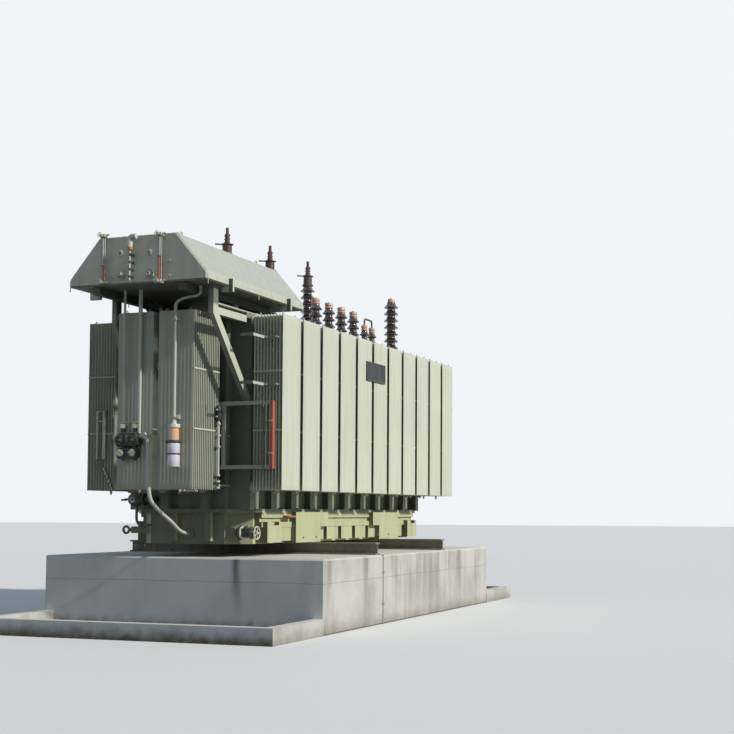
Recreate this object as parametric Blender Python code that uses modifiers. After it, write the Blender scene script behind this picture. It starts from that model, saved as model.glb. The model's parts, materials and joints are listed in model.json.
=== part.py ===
# Power transformer on its concrete plinth, with panel radiators on all four sides of the tank,
# a wedge-shaped oil conservator at one end and brown porcelain bushings on the cover.
# Metres, +Z up. +X runs along the tank, away from the conservator. The origin is under the middle
# of the plinth.

import math

import bmesh
import bpy
from mathutils import Matrix

# Clearances and overlaps
GAP = 0.0003  # between pieces that touch
FUSE = 0.004  # how far shapes of one piece reach into each other
OVERRUN = 0.02  # how far a cutter passes the face that it cuts
MERGE = 0.00005

# Concrete plinth and the low kerbs of the oil pit at both ends
PLINTH_LENGTH = 6.66
PLINTH_WIDTH = 4.20
PLINTH_HEIGHT = 0.96
PLINTH_CHAMFER = 0.02
KERB_REACH = 1.40
KERB_THICKNESS = 0.15
KERB_HEIGHT = 0.21

# Two rolled beams across the plinth
BEAM_LENGTH = 4.00
BEAM_HEIGHT = 0.17
BEAM_WIDTH = 0.16
BEAM_WEB = 0.022
BEAM_FLANGE = 0.022
BEAM_SPACING = 2.70

# Tank: a lower trough and a bell, bolted at a flange, with box ribs that carry the radiators.
# Its four upright corners are cut off, so the end walls are narrower than the tank.
TANK_WIDTH = 1.64
TANK_END_MARGIN = 0.105  # from the last radiator's centre to the end wall
CORNER_LENGTH = 0.30
CORNER_WIDTH = 0.26
TROUGH_HEIGHT = 0.44
BELL_HEIGHT = 2.56
JOINT_OVERHANG = 0.09
JOINT_THICKNESS = 0.025
RIB_WIDTH = 0.12
RIB_DEPTH = 0.09
END_RIB_WIDTH = 0.10
END_RIB_DEPTH = 0.06
END_RIB_RISE = 0.04
END_RIB_PLACES = (-0.34, 0.19)
COVER_OVERHANG = 0.08
COVER_THICKNESS = 0.04

# Channel girder along each long side of the trough, and the stiffening plates under it
GIRDER_LENGTH = 5.60
GIRDER_HEIGHT = 0.20
GIRDER_DEPTH = 0.11
GROOVE_HEIGHT = 0.06
GROOVE_DEPTH = 0.035
PLATE_PITCH = 0.52
PLATE_WIDTH = 0.40
PLATE_DEPTH = 0.10
PLATE_RISE = 0.03
PLATE_COUNT = 9

# Bearers over the cross beams and notched jacking brackets nearer the corners
BEARER_LENGTH = 1.06
BEARER_FOOT = 0.80
BEARER_REACH = 0.18
BEARER_SHOULDER = 0.22  # from the trough's underside up to the step in the bearer's outline
BEARER_OFFSET = 0.03
JACK_PLACE = 2.56
JACK_LENGTH = 0.41
JACK_HEIGHT = 0.28
JACK_REACH = 0.18
JACK_NOTCH_LENGTH = 0.26
JACK_NOTCH_DEPTH = 0.05

# Panel radiators
PANEL_WIDTH = 0.52
PANEL_THICKNESS = 0.012
PANEL_PITCH = 0.045
PANEL_COUNT = 10
END_PANEL_COUNT = 15
HEADER_WIDTH = 0.11
HEADER_HEIGHT = 0.09
RADIATOR_COUNT = 11
RADIATOR_PITCH = 0.607
RADIATOR_RISE = 0.27  # from the tank's joint up to the panels
RADIATOR_DROP = 0.01  # from the bell's top down to the panels
SIDE_NECK = 0.145
END_NECK = 0.09
END_RADIATOR_PITCH = 0.60

# Conservator, its two long beams and the struts under them
CONSERVATOR_LENGTH = 2.70
CONSERVATOR_OVERHANG = 1.29
CONSERVATOR_SIDE = 0.18  # past the tank's long walls
CONSERVATOR_TOP_WIDTH = 1.13
CONSERVATOR_EDGE = 0.10
CONSERVATOR_HEIGHT = 0.61
CONSERVATOR_ROUND = 0.02
CRADLE_HEIGHT = 0.10
CRADLE_WIDTH = 0.10
CRADLE_SIDE = 0.20  # from the tank's long wall in to the beam's middle
CRADLE_INSET = 0.05
CRADLE_LENGTH = 2.24
POST_HEIGHT = 0.13
POST_LENGTH = 0.12
LUG_THICKNESS = 0.04
LUG_REACH = 0.06
LUG_DROP = 0.07  # under the conservator
LUG_DEPTH = 0.10  # inside it
LUG_PLACES = (0.56, 2.19)  # from the conservator's near end
RIGHT_ARM_REACH = 0.87  # level arms, past the cover's end
LEFT_ARM_REACH = 0.40
ARM_HEIGHT = 0.09
ARM_WIDTH = 0.07
STRUT_DEPTH = 0.15
STRUT_DROP = 1.12  # from the arm down to the strut's foot

# Porcelain bushings
BUSHING_SIDES = 8
SHED_DROP_SHARE = 0.6
HV_COUNT = 3
HV_SPACING = 1.38
HV_START = 0.43  # from the conservator's far end to the first one
HV_INSET = 0.34  # from the tank's long wall
HV_TURRET_RADIUS = 0.15
HV_TURRET_HEIGHT = 0.26
HV_FLANGE_RADIUS = 0.19
HV_FLANGE = 0.03
HV_SHED_RADIUS = 0.12
HV_CORE_RADIUS = 0.072
HV_SHED_PITCH = 0.117
HV_SHEDS = 8
HV_CAP_RADIUS = 0.07
HV_CAP_HEIGHT = 0.17
HV_DISC_RADIUS = 0.095
HV_DISC = 0.014
HV_TERMINAL_RADIUS = 0.035
HV_TERMINAL_HEIGHT = 0.24
MV_COUNT = 4
MV_SPACING = 0.48
MV_CENTRE = 0.61
MV_INSET = 0.40
MV_FOOT_RADIUS = 0.13
MV_FOOT = 0.03
MV_NECK_RADIUS = 0.085
MV_NECK_HEIGHT = 0.14
MV_SHED_RADIUS = 0.10
MV_CORE_RADIUS = 0.062
MV_SHED_PITCH = 0.11
MV_SHEDS = 4
MV_CAP_RADIUS = 0.055
MV_CAP_HEIGHT = 0.10
TERTIARY_SPACING = 0.32
TERTIARY_CENTRE = 1.96
TERTIARY_FOOT_RADIUS = 0.11
TERTIARY_FOOT = 0.03
TERTIARY_SHED_RADIUS = 0.08
TERTIARY_CORE_RADIUS = 0.05
TERTIARY_SHED_PITCH = 0.105
TERTIARY_SHEDS = 4
TERTIARY_CAP_RADIUS = 0.045
TERTIARY_CAP_HEIGHT = 0.10
LINK_RADIUS = 0.016
LINK_RISE = 0.10
NEUTRAL_PLACE = 2.80
NEUTRAL_INSET = 0.32
NEUTRAL_FOOT_RADIUS = 0.17
NEUTRAL_FOOT = 0.03
NEUTRAL_NECK_RADIUS = 0.10
NEUTRAL_NECK_HEIGHT = 0.08
NEUTRAL_SHED_RADIUS = 0.125
NEUTRAL_CORE_RADIUS = 0.075
NEUTRAL_SHED_PITCH = 0.12
NEUTRAL_SHEDS = 8
NEUTRAL_CAP_RADIUS = 0.06
NEUTRAL_CAP_HEIGHT = 0.08

# Breather pipe and breather in front of the right end radiator
PIPE_STANDOFF = 0.10  # from the end panels' face to the pipes' centre lines
BREATHER_SIDE = -0.341
BREATHER_PIPE_RADIUS = 0.02
BREATHER_PIPE_CROSSING = 0.13  # over the radiator's top
BREATHER_PIPE_OFFSET = 0.08  # from the cradle beam's middle
BREATHER_DROP = 1.47  # from the radiator's top to the breather's
BREATHER_RADIUS = 0.083
BREATHER_HEIGHT = 0.53
BREATHER_NECK = 0.06
BREATHER_NECK_RADIUS = 0.035
BREATHER_GLASS_RADIUS = 0.07
BREATHER_RING = 0.03
BEND_RADIUS = 0.06
BEND_STEPS = 2
CLAMP_SIZE = 0.05
CLAMP_DROPS = (0.13, 1.37)  # below the radiator's top

# Valve manifold and its pipes in front of the left end radiator
MANIFOLD_SIDE = 0.337
MANIFOLD_WIDTH = 0.33
MANIFOLD_HEIGHT = 0.145
MANIFOLD_DEPTH = 0.13
MANIFOLD_DROP = 1.58  # from the radiator's top
FILL_PIPE_SIDE = 0.208
FILL_PIPE_RADIUS = 0.026
VENT_PIPE_SIDE = 0.429
VENT_PIPE_RADIUS = 0.016
COCK_RADIUS = 0.022
COCK_LENGTH = 0.09
COCK_SPACING = 0.214

# Gas relay between the cover and the conservator
RELAY_SIDE = 0.23  # from the cradle beam's middle
RELAY_PIPE_RADIUS = 0.032
RELAY_PIPE_INSET = 0.10  # from the tank's end wall
RELAY_PIPE_REACH = 0.57  # past the tank's end wall
RELAY_LENGTH = 0.22
RELAY_WIDTH = 0.16
RELAY_HEIGHT = 0.17

# Conduit frame in front of the side radiators' end
FRAME_WIDTH = 0.74
FRAME_HEIGHT = 0.88
FRAME_BAR = 0.05
FRAME_DEPTH = 0.05
FRAME_OFFSET = 0.06  # from the end radiator's side to the frame's near upright
FRAME_STANDOFF = 0.16
FRAME_RISE = 0.54  # above the tank's joint
FRAME_LAP = 0.08  # of its two lugs on the end wall

# Drain valve on a boss at the trough's cut corner
VALVE_INSET = 0.08
VALVE_RISE = 0.15
BOSS_WIDTH = 0.14
BOSS_REACH = 0.155  # past the end wall's edge
VALVE_NECK_RADIUS = 0.045
VALVE_NECK = 0.04
VALVE_FLANGE_RADIUS = 0.10
VALVE_FLANGE = 0.022
VALVE_BODY_RADIUS = 0.06
VALVE_BODY = 0.22
VALVE_WHEEL_RADIUS = 0.09
VALVE_WHEEL = 0.016

PIPE_SIDES = 2  # bevel resolution of a tube: 8 sides

# Levels and faces that follow
trough_bottom = PLINTH_HEIGHT + BEAM_HEIGHT + 2 * GAP
joint_level = trough_bottom + TROUGH_HEIGHT
bell_bottom = joint_level + GAP
bell_top = bell_bottom + BELL_HEIGHT
cover_bottom = bell_top + GAP
cover_top = cover_bottom + COVER_THICKNESS
tank_half_length = (RADIATOR_COUNT - 1) * RADIATOR_PITCH / 2 + TANK_END_MARGIN
tank_half_width = TANK_WIDTH / 2
end_wall_half = tank_half_width - CORNER_WIDTH
rib_face_x = tank_half_length + RIB_DEPTH
rib_face_y = tank_half_width + RIB_DEPTH
radiator_bottom = joint_level + RADIATOR_RISE
radiator_top = bell_top - RADIATOR_DROP
panel_height = radiator_top - radiator_bottom
end_depth = (END_PANEL_COUNT - 1) * PANEL_PITCH + PANEL_THICKNESS
end_face = rib_face_x + GAP + END_NECK + end_depth
cradle_bottom = cover_top + POST_HEIGHT + GAP
cradle_top = cradle_bottom + CRADLE_HEIGHT
conservator_bottom = cradle_top + GAP
conservator_near = -(tank_half_length + CONSERVATOR_OVERHANG)
conservator_far = conservator_near + CONSERVATOR_LENGTH
cradle_spread = tank_half_width - CRADLE_SIDE
mv_row = MV_INSET - tank_half_width

for old in list(bpy.data.objects):
    bpy.data.objects.remove(old, do_unlink=True)

parts = bpy.data.collections.new("power_transformer")
cutters = bpy.data.collections.new("cutters")
bpy.context.scene.collection.children.link(parts)
bpy.context.scene.collection.children.link(cutters)


def material(name, color, roughness, metallic):
    made = bpy.data.materials.new(name)
    made.use_nodes = True
    shader = made.node_tree.nodes["Principled BSDF"]
    shader.inputs["Base Color"].default_value = (*color, 1)
    shader.inputs["Roughness"].default_value = roughness
    shader.inputs["Metallic"].default_value = metallic
    return made


concrete = material("concrete", (0.40, 0.39, 0.35), 0.95, 0)
steel = material("rolled_steel", (0.24, 0.25, 0.24), 0.7, 0.3)
trough_paint = material("trough_paint", (0.22, 0.25, 0.16), 0.6, 0)
tank_paint = material("tank_paint", (0.27, 0.29, 0.22), 0.55, 0)
radiator_paint = material("radiator_paint", (0.42, 0.44, 0.37), 0.5, 0)
conservator_paint = material("conservator_paint", (0.40, 0.42, 0.36), 0.5, 0)
porcelain = material("porcelain", (0.045, 0.022, 0.018), 0.2, 0)
fitting_paint = material("fitting_paint", (0.46, 0.48, 0.42), 0.5, 0)
relay_paint = material("relay_paint", (0.12, 0.13, 0.11), 0.5, 0)
silica_glass = material("silica_glass", (0.62, 0.58, 0.66), 0.1, 0)


def place(name, data, finish, location=(0, 0, 0), turn=0):
    made = bpy.data.objects.new(name, data)
    made.location = location
    made.rotation_euler[2] = turn
    if not data.materials:
        data.materials.append(finish)
    parts.objects.link(made)
    return made


def mesh_from(name, bm):
    data = bpy.data.meshes.new(name)
    bm.to_mesh(data)
    bm.free()
    return data


def add_block(bm, low, high):
    """A cube whose corners are set, so that blocks that share a face share it exactly."""
    cube = bmesh.ops.create_cube(bm, size=1)
    for vert in cube["verts"]:
        vert.co = [l if c < 0 else h for c, l, h in zip(vert.co, low, high)]


def blocks(name, corners):
    """One mesh of boxes that don't touch, each given by its low and high corner."""
    bm = bmesh.new()
    for low, high in corners:
        add_block(bm, low, high)
    return mesh_from(name, bm)


def cylinder(name, centre, radius, height):
    bm = bmesh.new()
    bmesh.ops.create_cone(
        bm, cap_ends=True, segments=BUSHING_SIDES, radius1=radius, radius2=radius, depth=height,
        matrix=Matrix.Translation(centre))
    return mesh_from(name, bm)


def helper(name, data):
    """A shape that only joins or cuts another."""
    made = bpy.data.objects.new(name, data)
    made.hide_render = True
    made.display_type = "WIRE"
    cutters.objects.link(made)
    return made


def combine(piece, operation, data):
    tool = helper(f"{piece.name}_{operation.lower()}_{len(piece.modifiers)}", data)
    tool.location = piece.location
    tool.rotation_euler = piece.rotation_euler
    step = piece.modifiers.new(tool.name, "BOOLEAN")
    step.operation = operation
    step.solver = "EXACT"
    step.object = tool
    return piece


def flat_mesh(name, points, thickness):
    """A flat outline in X and Y, given thickness along Z about zero."""
    flat = bpy.data.curves.new(name, "CURVE")
    flat.dimensions = "2D"
    flat.fill_mode = "BOTH"
    flat.extrude = thickness / 2
    spline = flat.splines.new("POLY")
    spline.points.add(len(points) - 1)
    for point, place_on in zip(spline.points, points):
        point.co = (*place_on, 0, 1)
    spline.use_cyclic_u = True
    return curve_mesh(flat)


def outline_mesh(name, points, thickness):
    """A flat outline in X and Z, given thickness along Y about zero."""
    data = flat_mesh(name, points, thickness)
    data.transform(Matrix.Rotation(math.pi / 2, 4, "X"))
    return data


def curve_mesh(curve):
    """The curve's surface as a mesh with its caps welded on."""
    carrier = bpy.data.objects.new(curve.name, curve)
    cutters.objects.link(carrier)
    graph = bpy.context.evaluated_depsgraph_get()
    data = bpy.data.meshes.new_from_object(carrier.evaluated_get(graph))
    data.name = curve.name
    bpy.data.objects.remove(carrier)
    return closed(data)


def rounded_route(corners, radius):
    """The corners' route with an arc of a few points at each inner corner."""
    route = [corners[0]]
    for before, corner, after in zip(corners, corners[1:], corners[2:]):
        into = unit(corner, before)
        out = unit(corner, after)
        for step in range(BEND_STEPS + 1):
            share = step / BEND_STEPS
            weight_in = (1 - share) ** 2
            weight_out = share ** 2
            route.append([
                c + radius * (weight_in * i + weight_out * o)
                for c, i, o in zip(corner, into, out)])
    route.append(corners[-1])
    return route


def unit(start, end):
    difference = [e - s for s, e in zip(start, end)]
    length = math.sqrt(sum(d * d for d in difference))
    return [d / length for d in difference]


def tube_mesh(name, corners, radius):
    curve = bpy.data.curves.new(name, "CURVE")
    curve.dimensions = "3D"
    curve.bevel_depth = radius
    curve.bevel_resolution = PIPE_SIDES
    curve.use_fill_caps = True
    route = rounded_route(corners, BEND_RADIUS) if len(corners) > 2 else corners
    spline = curve.splines.new("POLY")
    spline.points.add(len(route) - 1)
    for point, place_on in zip(spline.points, route):
        point.co = (*place_on, 1)
    return curve_mesh(curve)


def profile_mesh(name, profile):
    """An open profile at +X, listed from its top to its bottom."""
    bm = bmesh.new()
    ring = [bm.verts.new((radius, 0, height)) for radius, height in profile]
    for upper, lower in zip(ring, ring[1:]):
        bm.edges.new((upper, lower))
    return mesh_from(name, bm)


def turn_on_lathe(piece):
    lathe = piece.modifiers.new("lathe", "SCREW")
    lathe.axis = "Z"
    lathe.angle = 2 * math.pi
    lathe.steps = BUSHING_SIDES
    lathe.render_steps = BUSHING_SIDES
    lathe.use_merge_vertices = True
    lathe.merge_threshold = MERGE
    return piece


def turned_mesh(name, profile):
    """A turned shape as a plain mesh, for joining to another."""
    carrier = bpy.data.objects.new(name, profile_mesh(name, profile))
    cutters.objects.link(carrier)
    turn_on_lathe(carrier)
    graph = bpy.context.evaluated_depsgraph_get()
    data = bpy.data.meshes.new_from_object(carrier.evaluated_get(graph))
    bpy.data.objects.remove(carrier)
    return closed(data)


def closed(data):
    """The mesh with its doubled points made one and its faces turned out."""
    bm = bmesh.new()
    bm.from_mesh(data)
    bmesh.ops.remove_doubles(bm, verts=bm.verts, dist=MERGE)
    bmesh.ops.recalc_face_normals(bm, faces=bm.faces)
    bm.to_mesh(data)
    bm.free()
    return data


def moved(data, offset):
    data.transform(Matrix.Translation(offset))
    return data


def shed_profile(top, count, pitch, core, rim):
    """A stack of sheds from its top: each slopes out to its rim and back in under it."""
    points = []
    for shed in range(count):
        points.append((core, top - shed * pitch))
        points.append((rim, top - (shed + SHED_DROP_SHARE) * pitch))
    points.append((core, top - count * pitch))
    return points


def make_plinth():
    half_length = PLINTH_LENGTH / 2
    half_width = PLINTH_WIDTH / 2
    low = (-half_length, -half_width, 0)
    high = (half_length, half_width, PLINTH_HEIGHT)
    plinth = place("plinth", blocks("plinth", [(low, high)]), concrete)
    edge = plinth.modifiers.new("edges", "BEVEL")
    edge.width = PLINTH_CHAMFER
    edge.segments = 1
    kerb_out = half_length + KERB_REACH
    kerb_in = kerb_out - KERB_THICKNESS
    for end, side in (("near", -1), ("far", 1)):
        bars = {
            "end": (kerb_in, kerb_out, -half_width, half_width),
            "left": (half_length + GAP, kerb_in - GAP, half_width - KERB_THICKNESS, half_width),
            "right": (half_length + GAP, kerb_in - GAP, -half_width, KERB_THICKNESS - half_width),
        }
        for bar, (start, stop, right, left) in bars.items():
            near, far = sorted((side * start, side * stop))
            name = f"kerb_{end}_{bar}"
            place(name, blocks(name, [((near, right, 0), (far, left, KERB_HEIGHT))]), concrete)


def make_beams():
    half = BEAM_WIDTH / 2
    web = BEAM_WEB / 2
    lower = BEAM_FLANGE
    upper = BEAM_HEIGHT - BEAM_FLANGE
    section = [
        (-half, 0), (half, 0), (half, lower), (web, lower), (web, upper), (half, upper),
        (half, BEAM_HEIGHT), (-half, BEAM_HEIGHT), (-half, upper), (-web, upper), (-web, lower),
        (-half, lower)]
    data = outline_mesh("cross_beam", section, BEAM_LENGTH)
    for name, side in (("cross_beam_near", -1), ("cross_beam_far", 1)):
        place(name, data, steel, (side * BEAM_SPACING / 2, 0, PLINTH_HEIGHT + GAP))


def radiator_places():
    middle = (RADIATOR_COUNT - 1) / 2
    return [(index - middle) * RADIATOR_PITCH for index in range(RADIATOR_COUNT)]


def end_radiator_places():
    return [side * END_RADIATOR_PITCH / 2 for side in (-1, 1)]


def side_ribs(bottom, top):
    """Box ribs on both long walls, one behind each radiator."""
    corners = []
    for x in radiator_places():
        for low, high in ((end_wall_half, rib_face_y), (-rib_face_y, -end_wall_half)):
            corners.append(((x - RIB_WIDTH / 2, low, bottom), (x + RIB_WIDTH / 2, high, top)))
    return corners


def end_ribs(places, width, depth, bottom, top):
    corners = []
    face = tank_half_length + depth
    for y in places:
        for low, high in ((tank_half_length - FUSE, face), (-face, FUSE - tank_half_length)):
            corners.append(((low, y - width / 2, bottom), (high, y + width / 2, top)))
    return corners


def tank_prism(name, overhang, bottom, top):
    """The tank's plan with its corners cut off, grown by the overhang."""
    x = tank_half_length + overhang
    y = tank_half_width + overhang
    inner_x = x - CORNER_LENGTH
    inner_y = y - CORNER_WIDTH
    outline = [
        (x, -inner_y), (x, inner_y), (inner_x, y), (-inner_x, y), (-x, inner_y), (-x, -inner_y),
        (-inner_x, -y), (inner_x, -y)]
    return moved(flat_mesh(name, outline, top - bottom), (0, 0, (bottom + top) / 2))


def around_tank(overhang, bottom, top):
    x = tank_half_length + overhang
    y = tank_half_width + overhang
    return ((-x, -y, bottom), (x, y, top))


def corners_of_four():
    return [(side, across) for side in (-1, 1) for across in (-1, 1)]


def along_wall(across, reach):
    """Y from inside the long wall on one side out to the reach, lowest first."""
    return sorted((across * (tank_half_width - FUSE), across * (tank_half_width + reach)))


def make_trough():
    flange_middle = joint_level - JOINT_THICKNESS / 2
    flange_bottom = joint_level - JOINT_THICKNESS
    trough = place("tank_trough", tank_prism("tank_trough", 0, trough_bottom, flange_middle), trough_paint)
    combine(trough, "UNION", tank_prism("trough_flange", JOINT_OVERHANG, flange_bottom, joint_level))
    rib_bottom = trough_bottom + END_RIB_RISE
    combine(trough, "UNION", blocks("trough_ribs", end_ribs(
        END_RIB_PLACES, END_RIB_WIDTH, END_RIB_DEPTH, rib_bottom, flange_middle)))
    girder_top = flange_bottom + FUSE
    girder_bottom = girder_top - GIRDER_HEIGHT
    for across in (-1, 1):
        combine(trough, "UNION", girder_mesh(across, girder_bottom, girder_top))
    combine(trough, "UNION", blocks("plates", plates(trough_bottom + PLATE_RISE, girder_bottom + FUSE)))
    for side, across in corners_of_four():
        combine(trough, "UNION", bearer_mesh(side, across, flange_middle))
    for side, across in corners_of_four():
        combine(trough, "UNION", jack_mesh(side, across))
    combine(trough, "UNION", blocks("valve_boss", [valve_boss()]))


def girder_mesh(across, bottom, top):
    """A channel section that opens outwards, along the wall."""
    wall = across * (tank_half_width - FUSE)
    face = across * (tank_half_width + GIRDER_DEPTH)
    inner = face - across * GROOVE_DEPTH
    groove_low = (bottom + top - GROOVE_HEIGHT) / 2
    groove_high = groove_low + GROOVE_HEIGHT
    section = [
        (wall, bottom), (face, bottom), (face, groove_low), (inner, groove_low),
        (inner, groove_high), (face, groove_high), (face, top), (wall, top)]
    data = outline_mesh("girder", section, GIRDER_LENGTH)
    data.transform(Matrix.Rotation(math.pi / 2, 4, "Z"))
    return data


def plates(bottom, top):
    corners = []
    middle = (PLATE_COUNT - 1) / 2
    for index in range(PLATE_COUNT):
        x = (index - middle) * PLATE_PITCH
        for across in (-1, 1):
            low, high = along_wall(across, PLATE_DEPTH)
            corners.append(((x - PLATE_WIDTH / 2, low, bottom), (x + PLATE_WIDTH / 2, high, top)))
    return corners


def on_wall(data, place_on, across, reach):
    return moved(data, (place_on, across * (tank_half_width + (reach - FUSE) / 2), 0))


def bearer_mesh(side, across, top):
    """A stepped plate box over a cross beam, its foot towards the tank's end."""
    half = BEARER_LENGTH / 2
    step = BEARER_FOOT - half
    shoulder = trough_bottom + BEARER_SHOULDER
    outline = [
        (half, trough_bottom), (half, top), (-half, top), (-half, shoulder), (-step, shoulder),
        (-step, trough_bottom)]
    data = outline_mesh("bearer", [(side * x, z) for x, z in outline], BEARER_REACH + FUSE)
    return on_wall(data, side * (BEAM_SPACING / 2 + BEARER_OFFSET), across, BEARER_REACH)


def jack_mesh(side, across):
    """A bracket with a notch in its top for a jack's head."""
    half = JACK_LENGTH / 2
    notch = JACK_NOTCH_LENGTH / 2
    low = trough_bottom + PLATE_RISE / 2
    top = low + JACK_HEIGHT
    floor = top - JACK_NOTCH_DEPTH
    outline = [
        (-half, low), (half, low), (half, top), (notch, top), (notch, floor), (-notch, floor),
        (-notch, top), (-half, top)]
    data = outline_mesh("jack", outline, JACK_REACH + FUSE)
    return on_wall(data, side * JACK_PLACE, across, JACK_REACH)


def valve_boss():
    x = VALVE_INSET - tank_half_length
    z = trough_bottom + VALVE_RISE
    half = BOSS_WIDTH / 2
    return (
        (x - half, -end_wall_half - BOSS_REACH, z - half), (x + half, -end_wall_half, z + half))


def make_bell():
    flange_middle = bell_bottom + JOINT_THICKNESS / 2
    rim_middle = bell_top - JOINT_THICKNESS / 2
    bell = place("tank_bell", tank_prism("tank_bell", 0, flange_middle, rim_middle), tank_paint)
    flange_top = bell_bottom + JOINT_THICKNESS
    combine(bell, "UNION", tank_prism("bell_flange", JOINT_OVERHANG, bell_bottom, flange_top))
    rim = around_tank(COVER_OVERHANG, bell_top - JOINT_THICKNESS, bell_top)
    combine(bell, "UNION", blocks("bell_rim", [rim]))
    end = end_ribs(end_radiator_places(), RIB_WIDTH, RIB_DEPTH, flange_middle, rim_middle)
    combine(bell, "UNION", blocks("bell_ribs", side_ribs(flange_middle, rim_middle) + end))


def cradle_sides(across):
    return sorted((
        across * (cradle_spread - CRADLE_WIDTH / 2), across * (cradle_spread + CRADLE_WIDTH / 2)))


def make_cover():
    cover = place("tank_cover", blocks("tank_cover", [around_tank(COVER_OVERHANG, cover_bottom, cover_top)]),
                  tank_paint)
    posts = []
    for x in (-tank_half_length, conservator_near + LUG_PLACES[1]):
        for across in (-1, 1):
            low, high = cradle_sides(across)
            posts.append(((x, low, cover_top - FUSE), (x + POST_LENGTH, high, cover_top + POST_HEIGHT)))
    combine(cover, "UNION", blocks("posts", posts))


def box_with(name, corners, operation, finish, tools):
    piece = place(name, blocks(name, [corners]), finish)
    for tool in tools:
        combine(piece, operation, tool)
    return piece


def radiator_mesh(name, count, neck):
    """Panels stacked along +X from the tank, between an upper and a lower header that run on
    as necks to -X."""
    half = PANEL_WIDTH / 2
    bar = HEADER_WIDTH / 2
    upper = panel_height - HEADER_HEIGHT
    stack_depth = (count - 1) * PANEL_PITCH + PANEL_THICKNESS
    sheets = []
    for panel in range(count):
        start = panel * PANEL_PITCH
        sheets.append(((start, -half, HEADER_HEIGHT), (start + PANEL_THICKNESS, half, upper)))
    headers = [
        ((-neck, -bar, 0), (stack_depth, bar, HEADER_HEIGHT)),
        ((-neck, -bar, upper), (stack_depth, bar, panel_height))]
    stack = bpy.data.objects.new(name, blocks(name, sheets))
    cutters.objects.link(stack)
    combine(stack, "UNION", blocks(f"{name}_headers", headers))
    graph = bpy.context.evaluated_depsgraph_get()
    data = bpy.data.meshes.new_from_object(stack.evaluated_get(graph))
    data.name = name
    for step in list(stack.modifiers):
        bpy.data.objects.remove(step.object)
    bpy.data.objects.remove(stack)
    return closed(data)


def make_radiators():
    side_mesh = radiator_mesh("side_radiator", PANEL_COUNT, SIDE_NECK)
    start = rib_face_y + GAP + SIDE_NECK
    for index, x in enumerate(radiator_places(), 1):
        place(f"right_radiator_{index:02d}", side_mesh, radiator_paint,
              (x, -start, radiator_bottom), -math.pi / 2)
        place(f"left_radiator_{index:02d}", side_mesh, radiator_paint,
              (x, start, radiator_bottom), math.pi / 2)
    end_mesh = radiator_mesh("end_radiator", END_PANEL_COUNT, END_NECK)
    start = rib_face_x + GAP + END_NECK
    for index, y in enumerate(end_radiator_places(), 1):
        place(f"near_radiator_{index}", end_mesh, radiator_paint,
              (-start, y, radiator_bottom), math.pi)
        place(f"far_radiator_{index}", end_mesh, radiator_paint, (start, y, radiator_bottom))


def make_conservator():
    half = tank_half_width + CONSERVATOR_SIDE
    top = CONSERVATOR_TOP_WIDTH / 2
    section = [
        (-half, 0), (half, 0), (half, CONSERVATOR_EDGE), (top, CONSERVATOR_HEIGHT),
        (-top, CONSERVATOR_HEIGHT), (-half, CONSERVATOR_EDGE)]
    data = outline_mesh("conservator", section, CONSERVATOR_LENGTH)
    middle = (conservator_near + conservator_far) / 2
    conservator = place("conservator", data, conservator_paint,
                        (middle, 0, conservator_bottom), math.pi / 2)
    edge = conservator.modifiers.new("edges", "BEVEL")
    edge.width = CONSERVATOR_ROUND
    edge.segments = 1
    lugs = []
    for along in LUG_PLACES:
        middle = CONSERVATOR_LENGTH / 2 - along
        for across in (-1, 1):
            low, high = sorted((across * (half - LUG_DEPTH), across * (half + LUG_REACH)))
            lugs.append((
                (low, middle - LUG_THICKNESS / 2, -LUG_DROP),
                (high, middle + LUG_THICKNESS / 2, CONSERVATOR_EDGE - FUSE)))
    combine(conservator, "UNION", blocks("lugs", lugs))
    make_cradle_beam("cradle_beam_right", -1)
    make_cradle_beam("cradle_beam_left", 1)
    make_strut("strut_right", -1, RIGHT_ARM_REACH)
    make_strut("strut_left", 1, LEFT_ARM_REACH)


def make_cradle_beam(name, across):
    start = conservator_near + CRADLE_INSET
    low, high = cradle_sides(across)
    place(name, blocks(name, [((start, low, cradle_bottom), (start + CRADLE_LENGTH, high, cradle_top))]),
          steel)


def make_strut(name, across, reach):
    """A level arm from the cover's corner with a post up to the conservator, and the slanting
    strut that carries it from the nearest rib."""
    root = -(tank_half_length + COVER_OVERHANG + GAP)
    tip = root - reach
    high = cover_bottom
    low = high - ARM_HEIGHT
    foot = radiator_places()[0] - RIB_WIDTH / 2 - GAP
    foot_low = low - STRUT_DROP
    outline = [
        (root, high), (tip + POST_LENGTH, high), (tip + POST_LENGTH, conservator_bottom - GAP),
        (tip, conservator_bottom - GAP), (tip, low), (foot, foot_low), (foot, foot_low + STRUT_DEPTH),
        (tip + STRUT_DEPTH, low), (root, low)]
    y = across * (tank_half_width + COVER_OVERHANG - ARM_WIDTH / 2)
    place(name, outline_mesh(name, outline, ARM_WIDTH), steel, (0, y, 0))


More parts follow.
